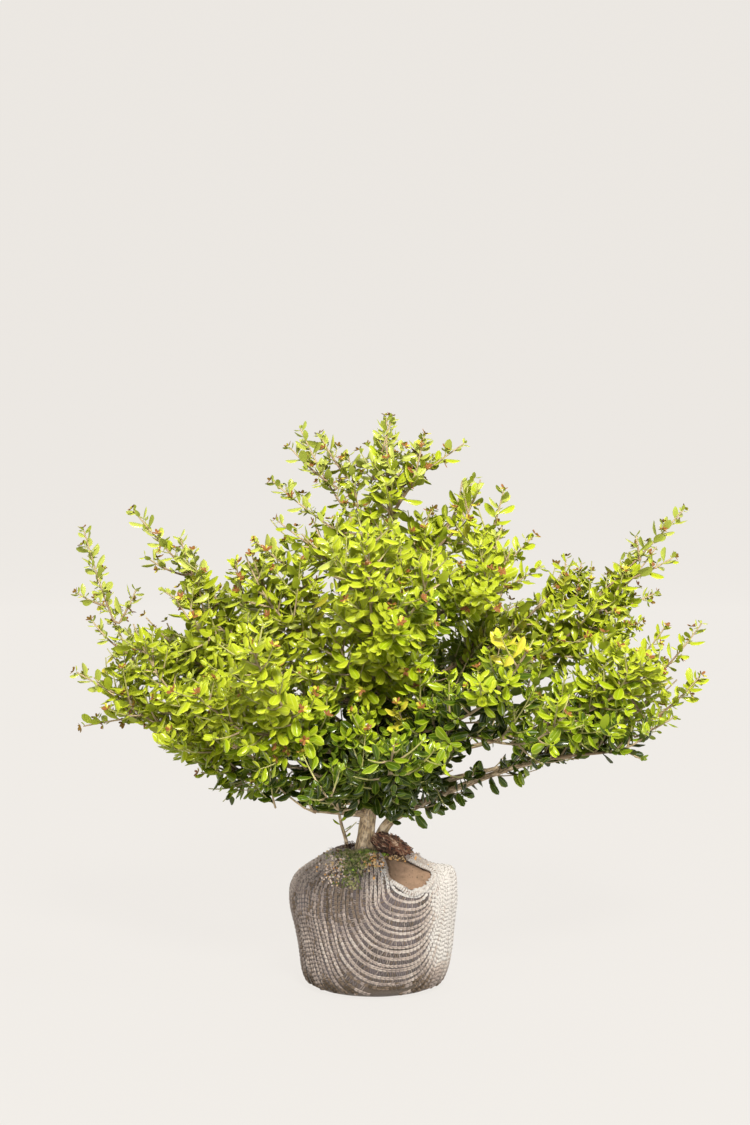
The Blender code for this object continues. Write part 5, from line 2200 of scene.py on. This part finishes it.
    def shell(self, name: str, out: float, around_count: int, up_count: int, lipped: bool = True) -> Mesh:
        """The surface as a closed mesh.

        Args:
            name: of the mesh.
            out: how far out of the surface it is.
            around_count: points of a ring.
            up_count: rings.
            lipped: whether it swells at the opening.

        Returns:
            The mesh.
        """
        alongs = np.linspace(0, self.lengths[-1] - 0.002, up_count)
        turns = np.arange(around_count) * math.tau / around_count
        grid_turns, grid_alongs = np.tile(turns, up_count), np.repeat(alongs, around_count)
        rings = self.points(grid_turns, grid_alongs, out, lipped).reshape(up_count, around_count, 3)
        rings[:, :, 2] = np.maximum(rings[:, :, 2], -min(out, 0.0))
        foot = (0, 0, float(rings[0, :, 2].mean()))
        return ring_mesh(name, rings, foot, (0, 0, self.height + self.dome + out))


@dataclass
class Wrap:
    """The knitted wrap: a ground cloth, wales of stitches on it, and the rolled rim of its opening."""

    form: BallForm
    ground_depth: Pair = (0.0012, 0.0026)
    grid: tuple[int, int] = (150, 60)  # the ground's points round and up
    rim_stitches: tuple[int, ...] = (5, 62, 119, 176)  # degrees round the rim's roll
    rim_stitch: float = 0.0008  # half the width of one
    loop_radius: float = 0.00042
    wale_turn: float = math.radians(3.2)  # from each wale to the next
    wobble: float = math.radians(0.75)
    stitch: float = 0.0046
    usual_width: float = 0.0049  # of a wale
    leg_depth: float = 0.0007
    leg_spread: float = 0.00078
    leg_lean: float = math.radians(10)
    leg_size: Triple = (0.00090, 0.0062, 0.00110)  # half width, length, half height
    thread_size: Pair = (0.00055, 0.00060)
    sagging_first: int = -4  # the innermost ones are cut by the opening
    sagging_count: int = 24  # the outermost ones run under the ball
    lowest_stitch: float = 0.0052
    sagging_left: float = math.radians(-82.8)
    sagging_right: float = math.radians(-47.5)
    right_step: float = math.radians(1.05)
    sagging_from: float = 0.112
    sagging_lowest: float = 0.100  # the bottom of the innermost
    sagging_step: float = 0.0068
    top_reach: float = 0.196  # along the section, where the wales end
    rim_radius: float = 0.0010
    rim_front_radius: float = 0.0034
    rim_step: float = 0.0021

    def sagging(self, number: int) -> np.ndarray:
        """A wale that hangs in a U below the opening.

        Args:
            number: counted from the innermost.

        Returns:
            Turns and places along the section, one a row.
        """
        left = self.sagging_left - self.wale_turn * number
        right = self.sagging_right + self.right_step * number
        uneven = 0.13 * math.sin(number * 2.3) + 0.09 * math.sin(number * 4.1 + 1)
        low = self.sagging_lowest - self.sagging_step * (number + uneven)
        power = 2.0 + 0.05 * number
        from_height = max(self.sagging_from, low + 0.016)
        limb = np.linspace(self.top_reach, self.form.along_at(from_height), 40)
        rows = [(left, along) for along in limb]
        for step in range(1, 70):
            turn = math.pi * (1 + step / 70)
            across = math.copysign(abs(math.cos(turn)) ** (2 / power), math.cos(turn))
            down = abs(math.sin(turn)) ** (2 / power)
            height = from_height - (from_height - low) * down
            skew = 0.05 * (1 - across * across) * down
            turned = (left + right + (right - left) * across) / 2 + skew
            rows.append((turned, float(self.form.along_at(height))))
        rows += [(right, along) for along in limb[::-1]]
        return np.array(rows)

    def upright(self, number: int) -> np.ndarray:
        """A wale that runs straight up, counted leftwards from the outermost that hangs."""
        first = self.sagging_left - self.wale_turn * self.sagging_count
        alongs = np.linspace(0.004, self.top_reach, 110)
        return np.stack([np.full(110, first - self.wale_turn * number), alongs], axis=1)

    def wales(self) -> list[np.ndarray]:
        """All wales.

        Returns:
            For each its points, the width of the knit there, turn and place along the section.
        """
        last = self.sagging_right + self.right_step * (self.sagging_count - 1) - math.tau
        first = self.sagging_left - self.wale_turn * self.sagging_count
        upright_count = round((first - last) / self.wale_turn)
        families = (
            [self.sagging(number) for number in range(self.sagging_first, self.sagging_count + 1)],
            [self.upright(number) for number in range(upright_count + 1)],
        )
        made = []
        for family in families:
            lines = []
            for number, rows in enumerate(family):
                turns, alongs = rows[:, 0].copy(), rows[:, 1]
                turns += self.wobble * np.sin(alongs * 95 + number * 1.9) * np.cos(alongs * 37 + number)
                lines.append((self.form.points(turns, alongs, -self.leg_depth), turns, alongs))
            for (here, turns, alongs), (after, _, _) in zip(lines, lines[1:]):
                ways = ways_along(here)
                between = after - here
                between -= ways * (between * ways).sum(1)[:, None]
                widths = np.linalg.norm(between, axis=1)
                table = np.column_stack([here, widths, turns, alongs])
                made.append(stretched_evenly(table, self.stitch))
        return made

    def soiling_and_light(self, place: np.ndarray) -> float:
        """How pale the yarn is at a place, from 0, soaked with soil, to 1, bleached and, towards the ball's
        right side, painted lit.
        """
        x, y, z = place
        front = 1.0 if y < 0 else 0.55
        paleness = 0.58 + 0.16 * noise.noise(Vector((x * 48, y * 48, z * 40 + 5)))
        stain = math.exp(-(((x + 0.036) / 0.030) ** 2) - ((z - 0.112) / 0.026) ** 2)
        edge_stain = math.exp(-(((x + 0.080) / 0.026) ** 2) - ((z - 0.080) / 0.050) ** 2)
        paleness -= (0.40 * stain + 0.14 * edge_stain) * front
        paleness -= 0.50 * math.exp(-((z / 0.022) ** 2)) * (0.8 + noise.noise(Vector((x * 90, y * 90, 3))))
        # paler towards the ball's right side: bleached yarn, with painted light
        bleached_and_lit = 1 / (1 + math.exp(-(x - 0.058 + 0.010 * noise.noise(place * 60)) / 0.0055))
        paleness += 0.36 * bleached_and_lit * (1 / (1 + math.exp(-(z - 0.022) / 0.007)))
        gathered = math.exp(-(((x - 0.002) / 0.013) ** 2) - ((z - 0.128) / 0.016) ** 2)
        return paleness + 0.30 * gathered * (1 if y < 0 else 0)

    def yarn_at(self, chance: random.Random, place: np.ndarray, more: float = 0.0) -> Yarn:
        """The colour of the yarn at a place."""
        paleness = self.soiling_and_light(Vector(place)) + more + chance.gauss(0, 0.05)
        return Yarn(sum(paleness > bound for bound in (0.22, 0.38, 0.52, 0.66, 0.84)))

    def stitches(self, chance: random.Random) -> Seats:
        """Seats of all legs of the stitches, and of the threads between the wales."""
        seats = Seats()
        half_width, length, half_height = self.leg_size
        for table in self.wales():
            faded = chance.gauss(0, 0.05)
            shift = chance.uniform(-0.5, 0.5) * self.stitch
            places, widths = table[:, :3], table[:, 3]
            ways = np.gradient(places, axis=0)
            outs = self.form.normals(table[:, 4], table[:, 5])
            edge = self.form.from_opening(places)
            for place, way, out, width, away in zip(places, ways, outs, widths, edge):
                if away < 0.0008 or place[2] < self.lowest_stitch:
                    continue
                way, out = Vector(way).normalized(), Vector(out)
                side = way.cross(out).normalized()
                narrow = min(max(width / self.usual_width, 0.5), 1.0)
                stretched = min(max((width - 0.0055) / 0.002, 0.0), 1.0)
                low = min(max((0.060 - place[2]) / 0.022, 0.0), 1.0)
                spread = self.leg_spread * narrow * (1 + (0.45 * low - 0.12) * stretched)
                lean = self.leg_lean * (1 - 0.6 * stretched) * chance.uniform(0.8, 1.2)
                pale = faded + 0.03 * stretched + (0.22 if away < 0.009 and place[1] < -0.04 else 0.0)
                for hand in (-1, 1):
                    foot = Vector(place) + side * hand * spread + way * shift
                    foot += out * chance.uniform(-0.00012, 0.00022)
                    run = way * math.cos(lean) + side * hand * math.sin(lean)
                    thick = (0.25 + 0.75 * narrow + 0.12 * stretched) * chance.uniform(0.92, 1.1)
                    size = (half_width * thick, length, half_height)
                    seats.add(foot, run, out, size, 0, self.yarn_at(chance, place, pale))
                if width > self.usual_width * 1.02 and place[2] > 0.018 and place[0] < 0.056:
                    self.threads(seats, chance, Vector(place), way, side, out, width)
        return seats

    def threads(self, seats: Seats, chance: random.Random, place: Vector, way: Vector, side: Vector,
                out: Vector, width: float) -> None:
        """Seats the two threads that cross from a stretched wale to the next."""
        thin, low = self.thread_size
        to_next = side if side.z < 0 or abs(side.z) < 0.2 and side.x * place.y > 0 else -side
        for step in (-0.25, 0.25):
            middle = place + to_next * width * 0.5 + way * self.stitch * step - out * 0.0004
            run = (to_next + way * chance.uniform(-0.5, 0.5)).normalized()
            size = (thin * chance.uniform(0.9, 1.4), width * 0.9, low)
            tint = chance.choices((Yarn.THREAD, Yarn.BROWN, Yarn.GREY), (0.50, 0.25, 0.25))[0]
            seats.add(middle, run, out, size, 0, tint)

    def leg_mesh(self) -> Mesh:
        """One leg of a stitch: a bent spindle of length 1 along +Y, 1 to each side."""
        sides = 5
        rings = np.zeros((3, sides, 3))
        for row, (along, swell) in enumerate(((-0.29, 0.86), (0.0, 1.0), (0.29, 0.86))):
            for side in range(sides):
                turn = math.tau * (side + 0.25) / sides
                rings[row, side] = (swell * math.cos(turn), along, swell * math.sin(turn) - 6 * along**2)
        return ring_mesh("leg", rings, (0, -0.5, -1.3), (0, 0.5, -1.3))

    def ground(self) -> Object:
        """The cloth under the stitches: a closed shell, cut open in the opening's outline."""
        outer, inner = self.ground_depth
        body = new_piece("wrap_ground", turned_outwards(self.form.shell("ground", -outer, *self.grid)))
        hollow = new_piece("hollow", turned_outwards(self.form.shell("hollow", -inner, *self.grid)))
        ragged = []
        for x, y in self.form.opening:
            shake = 0.0009 * noise.noise(Vector((x * 300, y * 300, 1.0)))
            ragged.append((x * (1 + shake * 12), y * (1 + shake * 12)))
        count = len(ragged)
        points = [(*p, self.form.opening_from) for p in ragged] + [(*p, 0.2) for p in ragged]
        faces = [tuple(range(count)), tuple(range(count, 2 * count))]
        faces += [(n, (n + 1) % count, (n + 1) % count + count, n + count) for n in range(count)]
        prism = new_piece("prism", turned_outwards(mesh_of("prism", points, faces)))
        for cutter in (hollow, prism):
            modifier = body.modifiers.new("cut", "BOOLEAN")
            modifier.operation = "DIFFERENCE"
            modifier.solver = "MANIFOLD"
            modifier.object = cutter
        bpy.context.view_layer.update()
        graph = bpy.context.evaluated_depsgraph_get()
        mesh = bpy.data.meshes.new_from_object(body.evaluated_get(graph))
        for spent in (body, hollow, prism):
            bpy.data.objects.remove(spent)
        mesh.materials.clear()
        mesh.materials.append(ClothFinish().material())
        mesh.shade_smooth()
        return new_piece("wrap_ground", mesh)

    def rim_line(self) -> tuple[np.ndarray, np.ndarray, np.ndarray]:
        """The middle of the rim's roll, the ways out of the surface there, and its radii."""
        line = np.vstack([self.form.opening, self.form.opening[:1]])
        line = stretched_evenly(np.column_stack([line, np.zeros(len(line))]), self.rim_step)
        turns, alongs = self.form.above(line[:, :2])
        places = self.form.points(turns, alongs, -0.0006)
        outs = self.form.normals(turns, alongs)
        front = np.exp(-(((places[:, 0] - 0.048) / 0.027) ** 4) - ((places[:, 1] + 0.066) / 0.022) ** 4)
        radii = self.rim_radius + (self.rim_front_radius - self.rim_radius) * front
        radii *= 1 + 0.16 * np.sin(places[:, 0] * 410) * np.cos(places[:, 1] * 370)
        return places, outs, radii

    def rim(self, seats: Seats, chance: random.Random) -> Object:
        """The rolled rim: a core of cloth, and stitches that wrap over it.

        Args:
            seats: takes the stitches.
            chance: what is drawn from.

        Returns:
            The core.
        """
        places, outs, radii = self.rim_line()
        ways = ways_along(places)
        sides = np.cross(ways, outs)
        centres = places + sides * radii[:, None] * 0.35
        rings = np.zeros((len(places), 10, 3))
        for number in range(10):
            turn = math.tau * number / 10
            rings[:, number] = centres + radii[:, None] * (sides * math.cos(turn) + outs * math.sin(turn))
        core = turned_outwards(ring_mesh("rim", rings, centres[0], centres[-1]))
        core.materials.append(RIM_FINISH.material())
        for centre, way, side, out, radius in zip(centres, ways, sides, outs, radii):
            for angle in self.rim_stitches:
                turn = math.radians(angle + chance.uniform(-9, 9))
                face = Vector(side) * math.cos(turn) + Vector(out) * math.sin(turn)
                run = Vector(out) * math.cos(turn) - Vector(side) * math.sin(turn)
                run = (run + Vector(way) * chance.uniform(0.1, 0.6)).normalized()
                foot = Vector(centre) + face * radius * 0.95
                wide = self.rim_stitch * chance.uniform(0.8, 1.25)
                size = (wide, radius * 1.7, self.rim_stitch)
                cleaner = 0.34 if radius > 1.4 * self.rim_radius else -0.16
                seats.add(foot, run, face, size, 0, self.yarn_at(chance, centre, cleaner))
        return new_piece("wrap_rim", core)

    def loops(self) -> Strands:
        """Loops and ends of yarn that stand out of the rim, most of them at the right."""
        chance = random.Random("loose yarn 5")
        strands = Strands()
        places, outs, radii = self.rim_line()
        for number in range(len(places) - 1):
            x = places[number][0]
            wanted = 0.42 if x > 0.030 else 0.12
            if chance.random() > wanted:
                continue
            out, start = Vector(outs[number]), Vector(places[number])
            way = Vector(places[number + 1] - places[number]).normalized()
            foot = start + out * radii[number] * 0.8
            rise, reach = chance.uniform(0.0012, 0.0034), chance.uniform(0.0010, 0.0028)
            lean = Vector([chance.uniform(-0.6, 0.6) for _ in range(3)]) * rise
            path = []
            for step in range(7):
                turn = math.pi * step / 6
                path.append(foot + way * reach * math.cos(turn) + (out * rise + lean) * math.sin(turn))
            tint = Yarn.CREAM if x > 0.04 else Yarn.GREY
            strands.add(path, [self.loop_radius] * 7, [tint] * 7)
        return strands

    def build(self) -> None:
        """Builds and hands over the wrap."""
        chance = random.Random("stitches 3")
        dressed(self.ground(), "knitted_wrap", "root_wrap")
        seats = self.stitches(chance)
        rim_seats = Seats()
        dressed(self.rim(rim_seats, chance), "knitted_wrap", "root_wrap")
        shapes = shape_collection("leg", [self.leg_mesh()])
        finishes = [finish.material() for finish in YARN_FINISHES]
        tree = seat_tree("stitches_on_seats", finishes)
        front, back = seats.halves()
        for name, half in (("knit_front", front), ("knit_back", back), ("knit_rim", rim_seats)):
            piece = tree.grown(half.points(f"{name}_seats"), name, Shapes=shapes)
            dressed(piece, "knitted_wrap", "root_wrap")
        loops = tube_tree("yarn_tubes", finishes).grown(self.loops().seed(), "knit_loops")
        dressed(loops, "knitted_wrap", "root_wrap")


@dataclass
class Soil:
    """The soil in the wrap, with the face of clay that the opening shows, and crumbs on it."""

    form: BallForm
    depth: float = 0.0036
    grid: tuple[int, int] = (220, 130)  # its points round and up
    clay_at: Triple = (0.042, -0.056, 0.130)
    clay_normal: Triple = (0.10, -0.62, 0.78)
    middle: Triple = (0.0, 0.0, 0.070)
    roughness: float = 0.0012
    clay_roughness: float = 0.0006

    def mesh(self) -> Mesh:
        """Builds the soil: the ball drawn in, and flattened on the clay's face."""
        mesh = self.form.shell("soil", -self.depth, *self.grid, lipped=False)
        at, normal, middle = Vector(self.clay_at), Vector(self.clay_normal).normalized(), Vector(self.middle)
        for vertex in mesh.vertices:
            place = vertex.co.copy()
            high = (place - at).dot(normal)
            coarse = noise.noise(place * 210)
            fine = noise.noise(place * 720)
            if high > 0:
                share = (at - middle).dot(normal) / (place - middle).dot(normal)
                chip = max(noise.noise(place * 150) - 0.25, 0.0) * 0.004
                place = middle + (place - middle) * share - normal * chip
                place += normal * self.clay_roughness * (coarse * 0.5 + fine * 0.4)
            elif place.z > 0.118:
                place += (place - middle).normalized() * self.roughness * (coarse + fine * 0.7)
            vertex.co = place
        mesh.materials.append(SoilFinish().material())
        return turned_outwards(mesh)

    def build(self) -> None:
        """Builds and hands over the soil."""
        dressed(new_piece("clay_soil", self.mesh()), "clay_soil", "root_soil")


@dataclass
class Litter:
    """What lies on the root ball: bark mulch, crumbs of soil, and moss."""

    form: BallForm
    mulch_lumps: tuple[tuple[Triple, Triple], ...] = (
        ((0.010, -0.013, 0.1610), (0.0100, 0.0100, 0.0125)),
        ((0.021, -0.014, 0.1575), (0.0110, 0.0110, 0.0125)),
        ((0.031, -0.015, 0.1520), (0.0085, 0.0110, 0.0110)),
    )
    mulch_grain: Triple = (0.86, -0.12, -0.50)
    sliver_count: int = 560
    top_reach: float = 0.0855  # from the ball's middle, where crumbs and moss end

    def clod(self, name: str, at: Sequence[float], size: Sequence[float], rough: float) -> Mesh:
        """A lumpy clod.

        Args:
            name: of the mesh.
            at: its middle.
            size: its half lengths.
            rough: how lumpy it is, as a share of them.

        Returns:
            The mesh.
        """
        shape = bmesh.new()
        bmesh.ops.create_icosphere(shape, subdivisions=4, radius=1.0)
        for point in shape.verts:
            swell = 1 + rough * (noise.noise(point.co * 1.7) + 0.5 * noise.noise(point.co * 5))
            point.co = Vector([at[axis] + point.co[axis] * swell * size[axis] for axis in range(3)])
        return mesh_from(shape, name)

    def sliver_meshes(self) -> list[Mesh]:
        """Splinters of bark, 1 long along +Y, in four shapes."""
        made = []
        for number in range(4):
            chance = random.Random(f"sliver {number}")
            rings = np.zeros((4, 4, 3))
            for row, (along, swell) in enumerate(((-0.5, 0.35), (-0.2, 1.0), (0.18, 0.85), (0.5, 0.2))):
                sway, lift = chance.uniform(-0.5, 0.5), chance.uniform(-0.4, 0.4)
                for side in range(4):
                    turn = math.tau * side / 4 + chance.uniform(-0.2, 0.2)
                    wide = swell * chance.uniform(0.8, 1.1)
                    height = lift + 0.6 * wide * math.sin(turn)
                    rings[row, side] = (sway + wide * math.cos(turn), along, height)
            mesh = ring_mesh(f"sliver_{number}", rings, rings[0].mean(0), rings[-1].mean(0))
            mesh.shade_flat()
            made.append(turned_outwards(mesh))
        return made

    def crumb_meshes(self) -> list[Mesh]:
        """Crumbs of soil, about 1 in radius, in three shapes."""
        made = []
        for number in range(3):
            shape = bmesh.new()
            bmesh.ops.create_icosphere(shape, subdivisions=1, radius=1.0)
            for point in shape.verts:
                point.co *= 1 + 0.55 * noise.noise(point.co * 1.6 + Vector((number * 7, 0, 0)))
            made.append(mesh_from(shape, f"crumb_{number}", smooth=False))
        return made

    def tuft_meshes(self) -> list[Mesh]:
        """Tufts of moss, about 1 high along +Z, in three shapes."""
        made = []
        for number in range(3):
            chance = random.Random(f"tuft {number}")
            points, faces = [], []
            for blade in range(8):
                turn = math.tau * blade / 8 + chance.uniform(-0.3, 0.3)
                lean = chance.uniform(0.15, 0.95)
                out = Vector((math.cos(turn), math.sin(turn), 0))
                across = Vector((-out.y, out.x, 0)) * 0.16
                foot = out * 0.08
                knee = foot + out * lean * 0.45 + UP * 0.55
                tip = foot + out * lean + UP * chance.uniform(0.75, 1.1)
                first = len(points)
                points += [foot - across * 0.6, foot + across * 0.6, foot - out * 0.1]
                points += [knee - across, knee + across, knee - out * 0.14, tip]
                for a, b in ((0, 1), (1, 2), (2, 0)):
                    faces.append((first + a, first + b, first + b + 3, first + a + 3))
                    faces.append((first + a + 3, first + b + 3, first + 6))
                faces.append((first + 2, first + 1, first))
            made.append(turned_outwards(mesh_of(f"tuft_{number}", points, faces)))
        return made

    def mulch_seats(self) -> Seats:
        """Slivers over the clod of mulch, mostly along its grain, and some behind the stems."""
        chance = random.Random("mulch 9")
        seats = Seats()
        grain = Vector(self.mulch_grain).normalized()
        for _ in range(self.sliver_count):
            out = Vector([chance.gauss(0, 1) for _ in range(3)]).normalized()
            out.z = abs(out.z) * 0.9 - 0.15
            middle, size = chance.choice(self.mulch_lumps)
            at = [middle[axis] + out[axis] * size[axis] * chance.uniform(0.82, 1.20) for axis in range(3)]
            if at[2] < self.form.height - 0.004 or math.hypot(at[0] + 0.009, at[1]) < 0.012:
                continue
            run = shaken(chance, grain, chance.choice((0.35, 0.35, 0.9)))
            long, wide = chance.uniform(0.004, 0.013), chance.uniform(0.0005, 0.0016)
            # the dark share is partly painted shade in the gaps of the mulch
            tint = chance.choices(range(4), (0.26, 0.36, 0.26, 0.12))[0]
            face = shaken(chance, out, 0.3)
            seats.add(Vector(at), run, face, (wide, long, wide), chance.randrange(4), tint)
        for _ in range(70):
            turn, reach = chance.uniform(0, math.tau), abs(chance.gauss(0, 0.010))
            at = Vector((-0.027 + reach * math.cos(turn), 0.004 + reach * math.sin(turn), 0.150))
            at.z += chance.uniform(0.0, 0.010) * math.exp(-((reach / 0.010) ** 2))
            run = shaken(chance, Vector((math.cos(turn), math.sin(turn), 0.25)), 0.7)
            size = (0.0004, chance.uniform(0.004, 0.010), 0.0004)
            seats.add(at, run, UP, size, chance.randrange(4), chance.choice((0, 0, 0, 1)))
        return seats

    def scattered(self, chance: random.Random, count: int, at: Pair,
                  size: Pair) -> list[tuple[Vector, Vector]]:
        """Places on the ball about a point of the ground plane, with the ways out of it."""
        flat = np.array([[chance.gauss(at[n], size[n] * 0.5) for n in (0, 1)] for _ in range(count)])
        flat = flat[np.hypot(flat[:, 0], flat[:, 1]) < self.top_reach]
        turns, alongs = self.form.above(flat)
        inside = self.form.from_opening(self.form.points(turns, alongs)) < 0
        outs = self.form.normals(turns, alongs)
        places = self.form.bare_points(turns, alongs) + outs * np.where(inside, -0.0034, 0.0002)[:, None]
        at_clay = (places - np.array(Soil.clay_at)) @ np.array(Soil.clay_normal) > -0.001
        found = zip(places, outs, at_clay & inside)
        return [(Vector(place), Vector(out)) for place, out, cut_away in found if not cut_away]

    def crumb_seats(self) -> Seats:
        """Crumbs about the stems' feet, below the trunk's foot, and on the wrap's left shoulder."""
        chance = random.Random("crumbs 4")
        seats = Seats()
        patches = (
            (520, (0.000, 0.005), (0.050, 0.042), (0.62, 0.24, 0.10, 0.04), 0.0009),
            (260, (0.000, -0.044), (0.018, 0.026), (0.30, 0.26, 0.34, 0.10), 0.0012),
            (200, (-0.036, -0.052), (0.020, 0.024), (0.20, 0.18, 0.12, 0.50), 0.0009),
            (140, (0.024, -0.034), (0.022, 0.010), (0.55, 0.35, 0.10, 0.00), 0.0009),
        )
        for count, at, size, shares, grain in patches:
            for place, out in self.scattered(chance, count, at, size):
                scale = grain * chance.uniform(0.5, 1.7)
                tint = chance.choices(range(4), shares)[0]
                seats.add(place + out * scale * 0.3, side_ways(out)[0], out, scale, chance.randrange(3), tint)
        return seats

    def moss_seats(self) -> Seats:
        """Tufts on the moss's low clod, below it on the wrap, and one bright patch at the stems."""
        chance = random.Random("moss 6")
        seats = Seats()
        patches = (
            (240, (-0.021, -0.052), (0.015, 0.026), (0.42, 0.34, 0.22, 0.02), 0.0024, 0.0022),
            (110, (-0.025, -0.077), (0.011, 0.009), (0.34, 0.36, 0.30, 0.00), 0.0019, 0.0002),
            (150, (-0.028, -0.024), (0.018, 0.018), (0.45, 0.35, 0.20, 0.00), 0.0022, 0.0002),
            (120, (-0.004, -0.026), (0.015, 0.009), (0.20, 0.36, 0.14, 0.30), 0.0030, 0.0012),
        )
        for count, at, size, shares, tall, heap in patches:
            for place, out in self.scattered(chance, count, at, size):
                away = math.hypot((place.x - at[0]) / size[0], (place.y - at[1]) / size[1])
                foot = place + out * heap * math.exp(-(away**2) * 1.5)
                scale = tall * chance.uniform(0.6, 1.3)
                tint = chance.choices(range(4), shares)[0]
                face = shaken(chance, (out + UP * 0.4).normalized(), 0.35)
                seats.add(foot, side_ways(face)[0], face, scale, chance.randrange(3), tint)
        return seats

    def build(self) -> None:
        """Builds and hands over the litter."""
        joined = bmesh.new()
        for number, (at, size) in enumerate(self.mulch_lumps):
            joined.from_mesh(self.clod(f"lump_{number}", at, [part * 0.9 for part in size], 0.25))
        core = mesh_from(joined, "mulch_core")
        core.materials.append(MulchFinish().material())
        dressed(new_piece("mulch_core", core), "bark_mulch", "bark_mulch")
        mound = self.clod("moss_mound", (-0.021, -0.051, 0.1400), (0.010, 0.015, 0.0050), 0.4)
        mound.materials.append(MOSS_GROUND.material())
        dressed(new_piece("moss_mound", mound), "moss", "moss")
        kinds = (
            ("mulch_slivers", self.sliver_meshes(), self.mulch_seats(), SLIVER_FINISHES, ["bark_mulch"] * 2),
            ("moss_tufts", self.tuft_meshes(), self.moss_seats(), MOSS_FINISHES, ["moss"] * 2),
            ("crumbs", self.crumb_meshes(), self.crumb_seats(), CRUMB_FINISHES, ["clay_soil"]),
        )
        for name, meshes, seats, finishes, slot_and_node in kinds:
            tree = seat_tree(f"{name}_on_seats", [finish.material() for finish in finishes])
            piece = tree.grown(seats.points(f"{name}_seats"), name, Shapes=shape_collection(name, meshes))
            dressed(piece, *slot_and_node)


# The studio


@dataclass(frozen=True)
class Studio:
    """Ground, lights and camera."""

    camera_at: Triple = Outline.eye
    aimed_at: Triple = (0.001, 0.0, 0.469)
    half_angle: float = math.radians(13.37)  # of the picture's height
    sensor: float = 36.0
    ground_reach: float = 16.0
    wall_away: float = 9.0
    wall_height: float = 15.0
    wall_bend: float = 3.0
    sky: Triple = (0.98, 0.99, 1.0)
    sky_strength: float = 0.28
    crown_middle: Triple = (0.0, 0.0, 0.32)
    beam_angle: float = math.radians(6.0)
    beam_blend: float = 0.8
    beam_softness: float = 0.06

    def ground(self) -> None:
        """A pale ground that bends up into a wall behind the plant."""
        points = [(-self.ground_reach, 0.0)]
        for step in range(17):
            turn = math.pi / 2 * step / 16
            away = self.wall_away - self.wall_bend + self.wall_bend * math.sin(turn)
            points.append((away, self.wall_bend * (1 - math.cos(turn))))
        points.append((self.wall_away, self.wall_height))
        reach = self.ground_reach
        corners = [(x, y, z) for y, z in points for x in (-reach, reach)]
        faces = [(2 * n, 2 * n + 1, 2 * n + 3, 2 * n + 2) for n in range(len(points) - 1)]
        ground = new_piece("studio_ground", mesh_of("studio_ground", corners, faces))
        ground.data.materials.append(FloorFinish().material())

    def hung(self, data: bpy.types.ID, place: Triple, aim: Triple) -> Object:
        """Hangs a lamp or camera.

        Args:
            data: the lamp or camera.
            place: where it hangs.
            aim: what it faces.

        Returns:
            The object.
        """
        made = bpy.data.objects.new(data.name, data)
        made.location = place
        made.rotation_euler = (Vector(aim) - made.location).to_track_quat("-Z", "Y").to_euler()
        bpy.context.scene.collection.objects.link(made)
        return made

    def lamp(self, name: str, place: Triple, size: float, power: float,
             colour: Triple = (1.0, 1.0, 1.0)) -> None:
        """A soft square lamp that faces the crown.

        Args:
            name: of the lamp.
            place: where it hangs.
            size: of its side.
            power: in watts.
            colour: of its light.
        """
        light = bpy.data.lights.new(name, "AREA")
        light.size = size
        light.energy = power
        light.color = colour
        self.hung(light, place, self.crown_middle)

    def beam(self, name: str, place: Triple, aim: Triple, power: float) -> None:
        """A narrow beam.

        Args:
            name: of the lamp.
            place: where it stands.
            aim: where it points.
            power: in watts.
        """
        light = bpy.data.lights.new(name, "SPOT")
        light.energy = power
        light.spot_size = self.beam_angle
        light.spot_blend = self.beam_blend
        light.shadow_soft_size = self.beam_softness
        self.hung(light, place, aim)

    def build(self) -> None:
        """Sets up the studio."""
        self.ground()
        self.lamp("key_light", (0.30, -2.25, 1.85), 0.5, 117.0, (1.0, 0.98, 0.92))
        self.beam("foot_light", (-0.3, -2.3, 0.45), (0.0, -0.02, 0.168), 102.0)
        self.lamp("side_light", (2.4, -0.5, 0.7), 0.8, 22.0)
        self.lamp("fill_light", (-2.0, -1.8, 1.6), 1.4, 26.0)
        scene = bpy.context.scene
        scene.world = bpy.data.worlds.new("studio")
        scene.world.use_nodes = True
        work = NodeWork(scene.world.node_tree)
        sockets = {"Color": (*self.sky, 1.0), "Strength": self.sky_strength}
        sky = work.node("ShaderNodeBackground", {}, sockets)
        work.node("ShaderNodeOutputWorld", {}, {0: sky.outputs[0]})
        scene.view_settings.view_transform = "Standard"
        lens = bpy.data.cameras.new("camera")
        lens.sensor_fit = "VERTICAL"
        lens.sensor_height = self.sensor
        lens.lens = self.sensor / 2 / math.tan(self.half_angle)
        scene.camera = self.hung(lens, self.camera_at, self.aimed_at)


def main() -> None:
    """Builds the plant's looks and the studio."""
    logging.basicConfig(level=logging.INFO, format="%(message)s")
    rule = GrowthRule()
    Stems(rule).build()
    Crown(rule, Outline()).build()
    form = BallForm()
    Wrap(form).build()
    Soil(form).build()
    Litter(form).build()
    Studio().build()


if __name__ == "__main__":
    main()
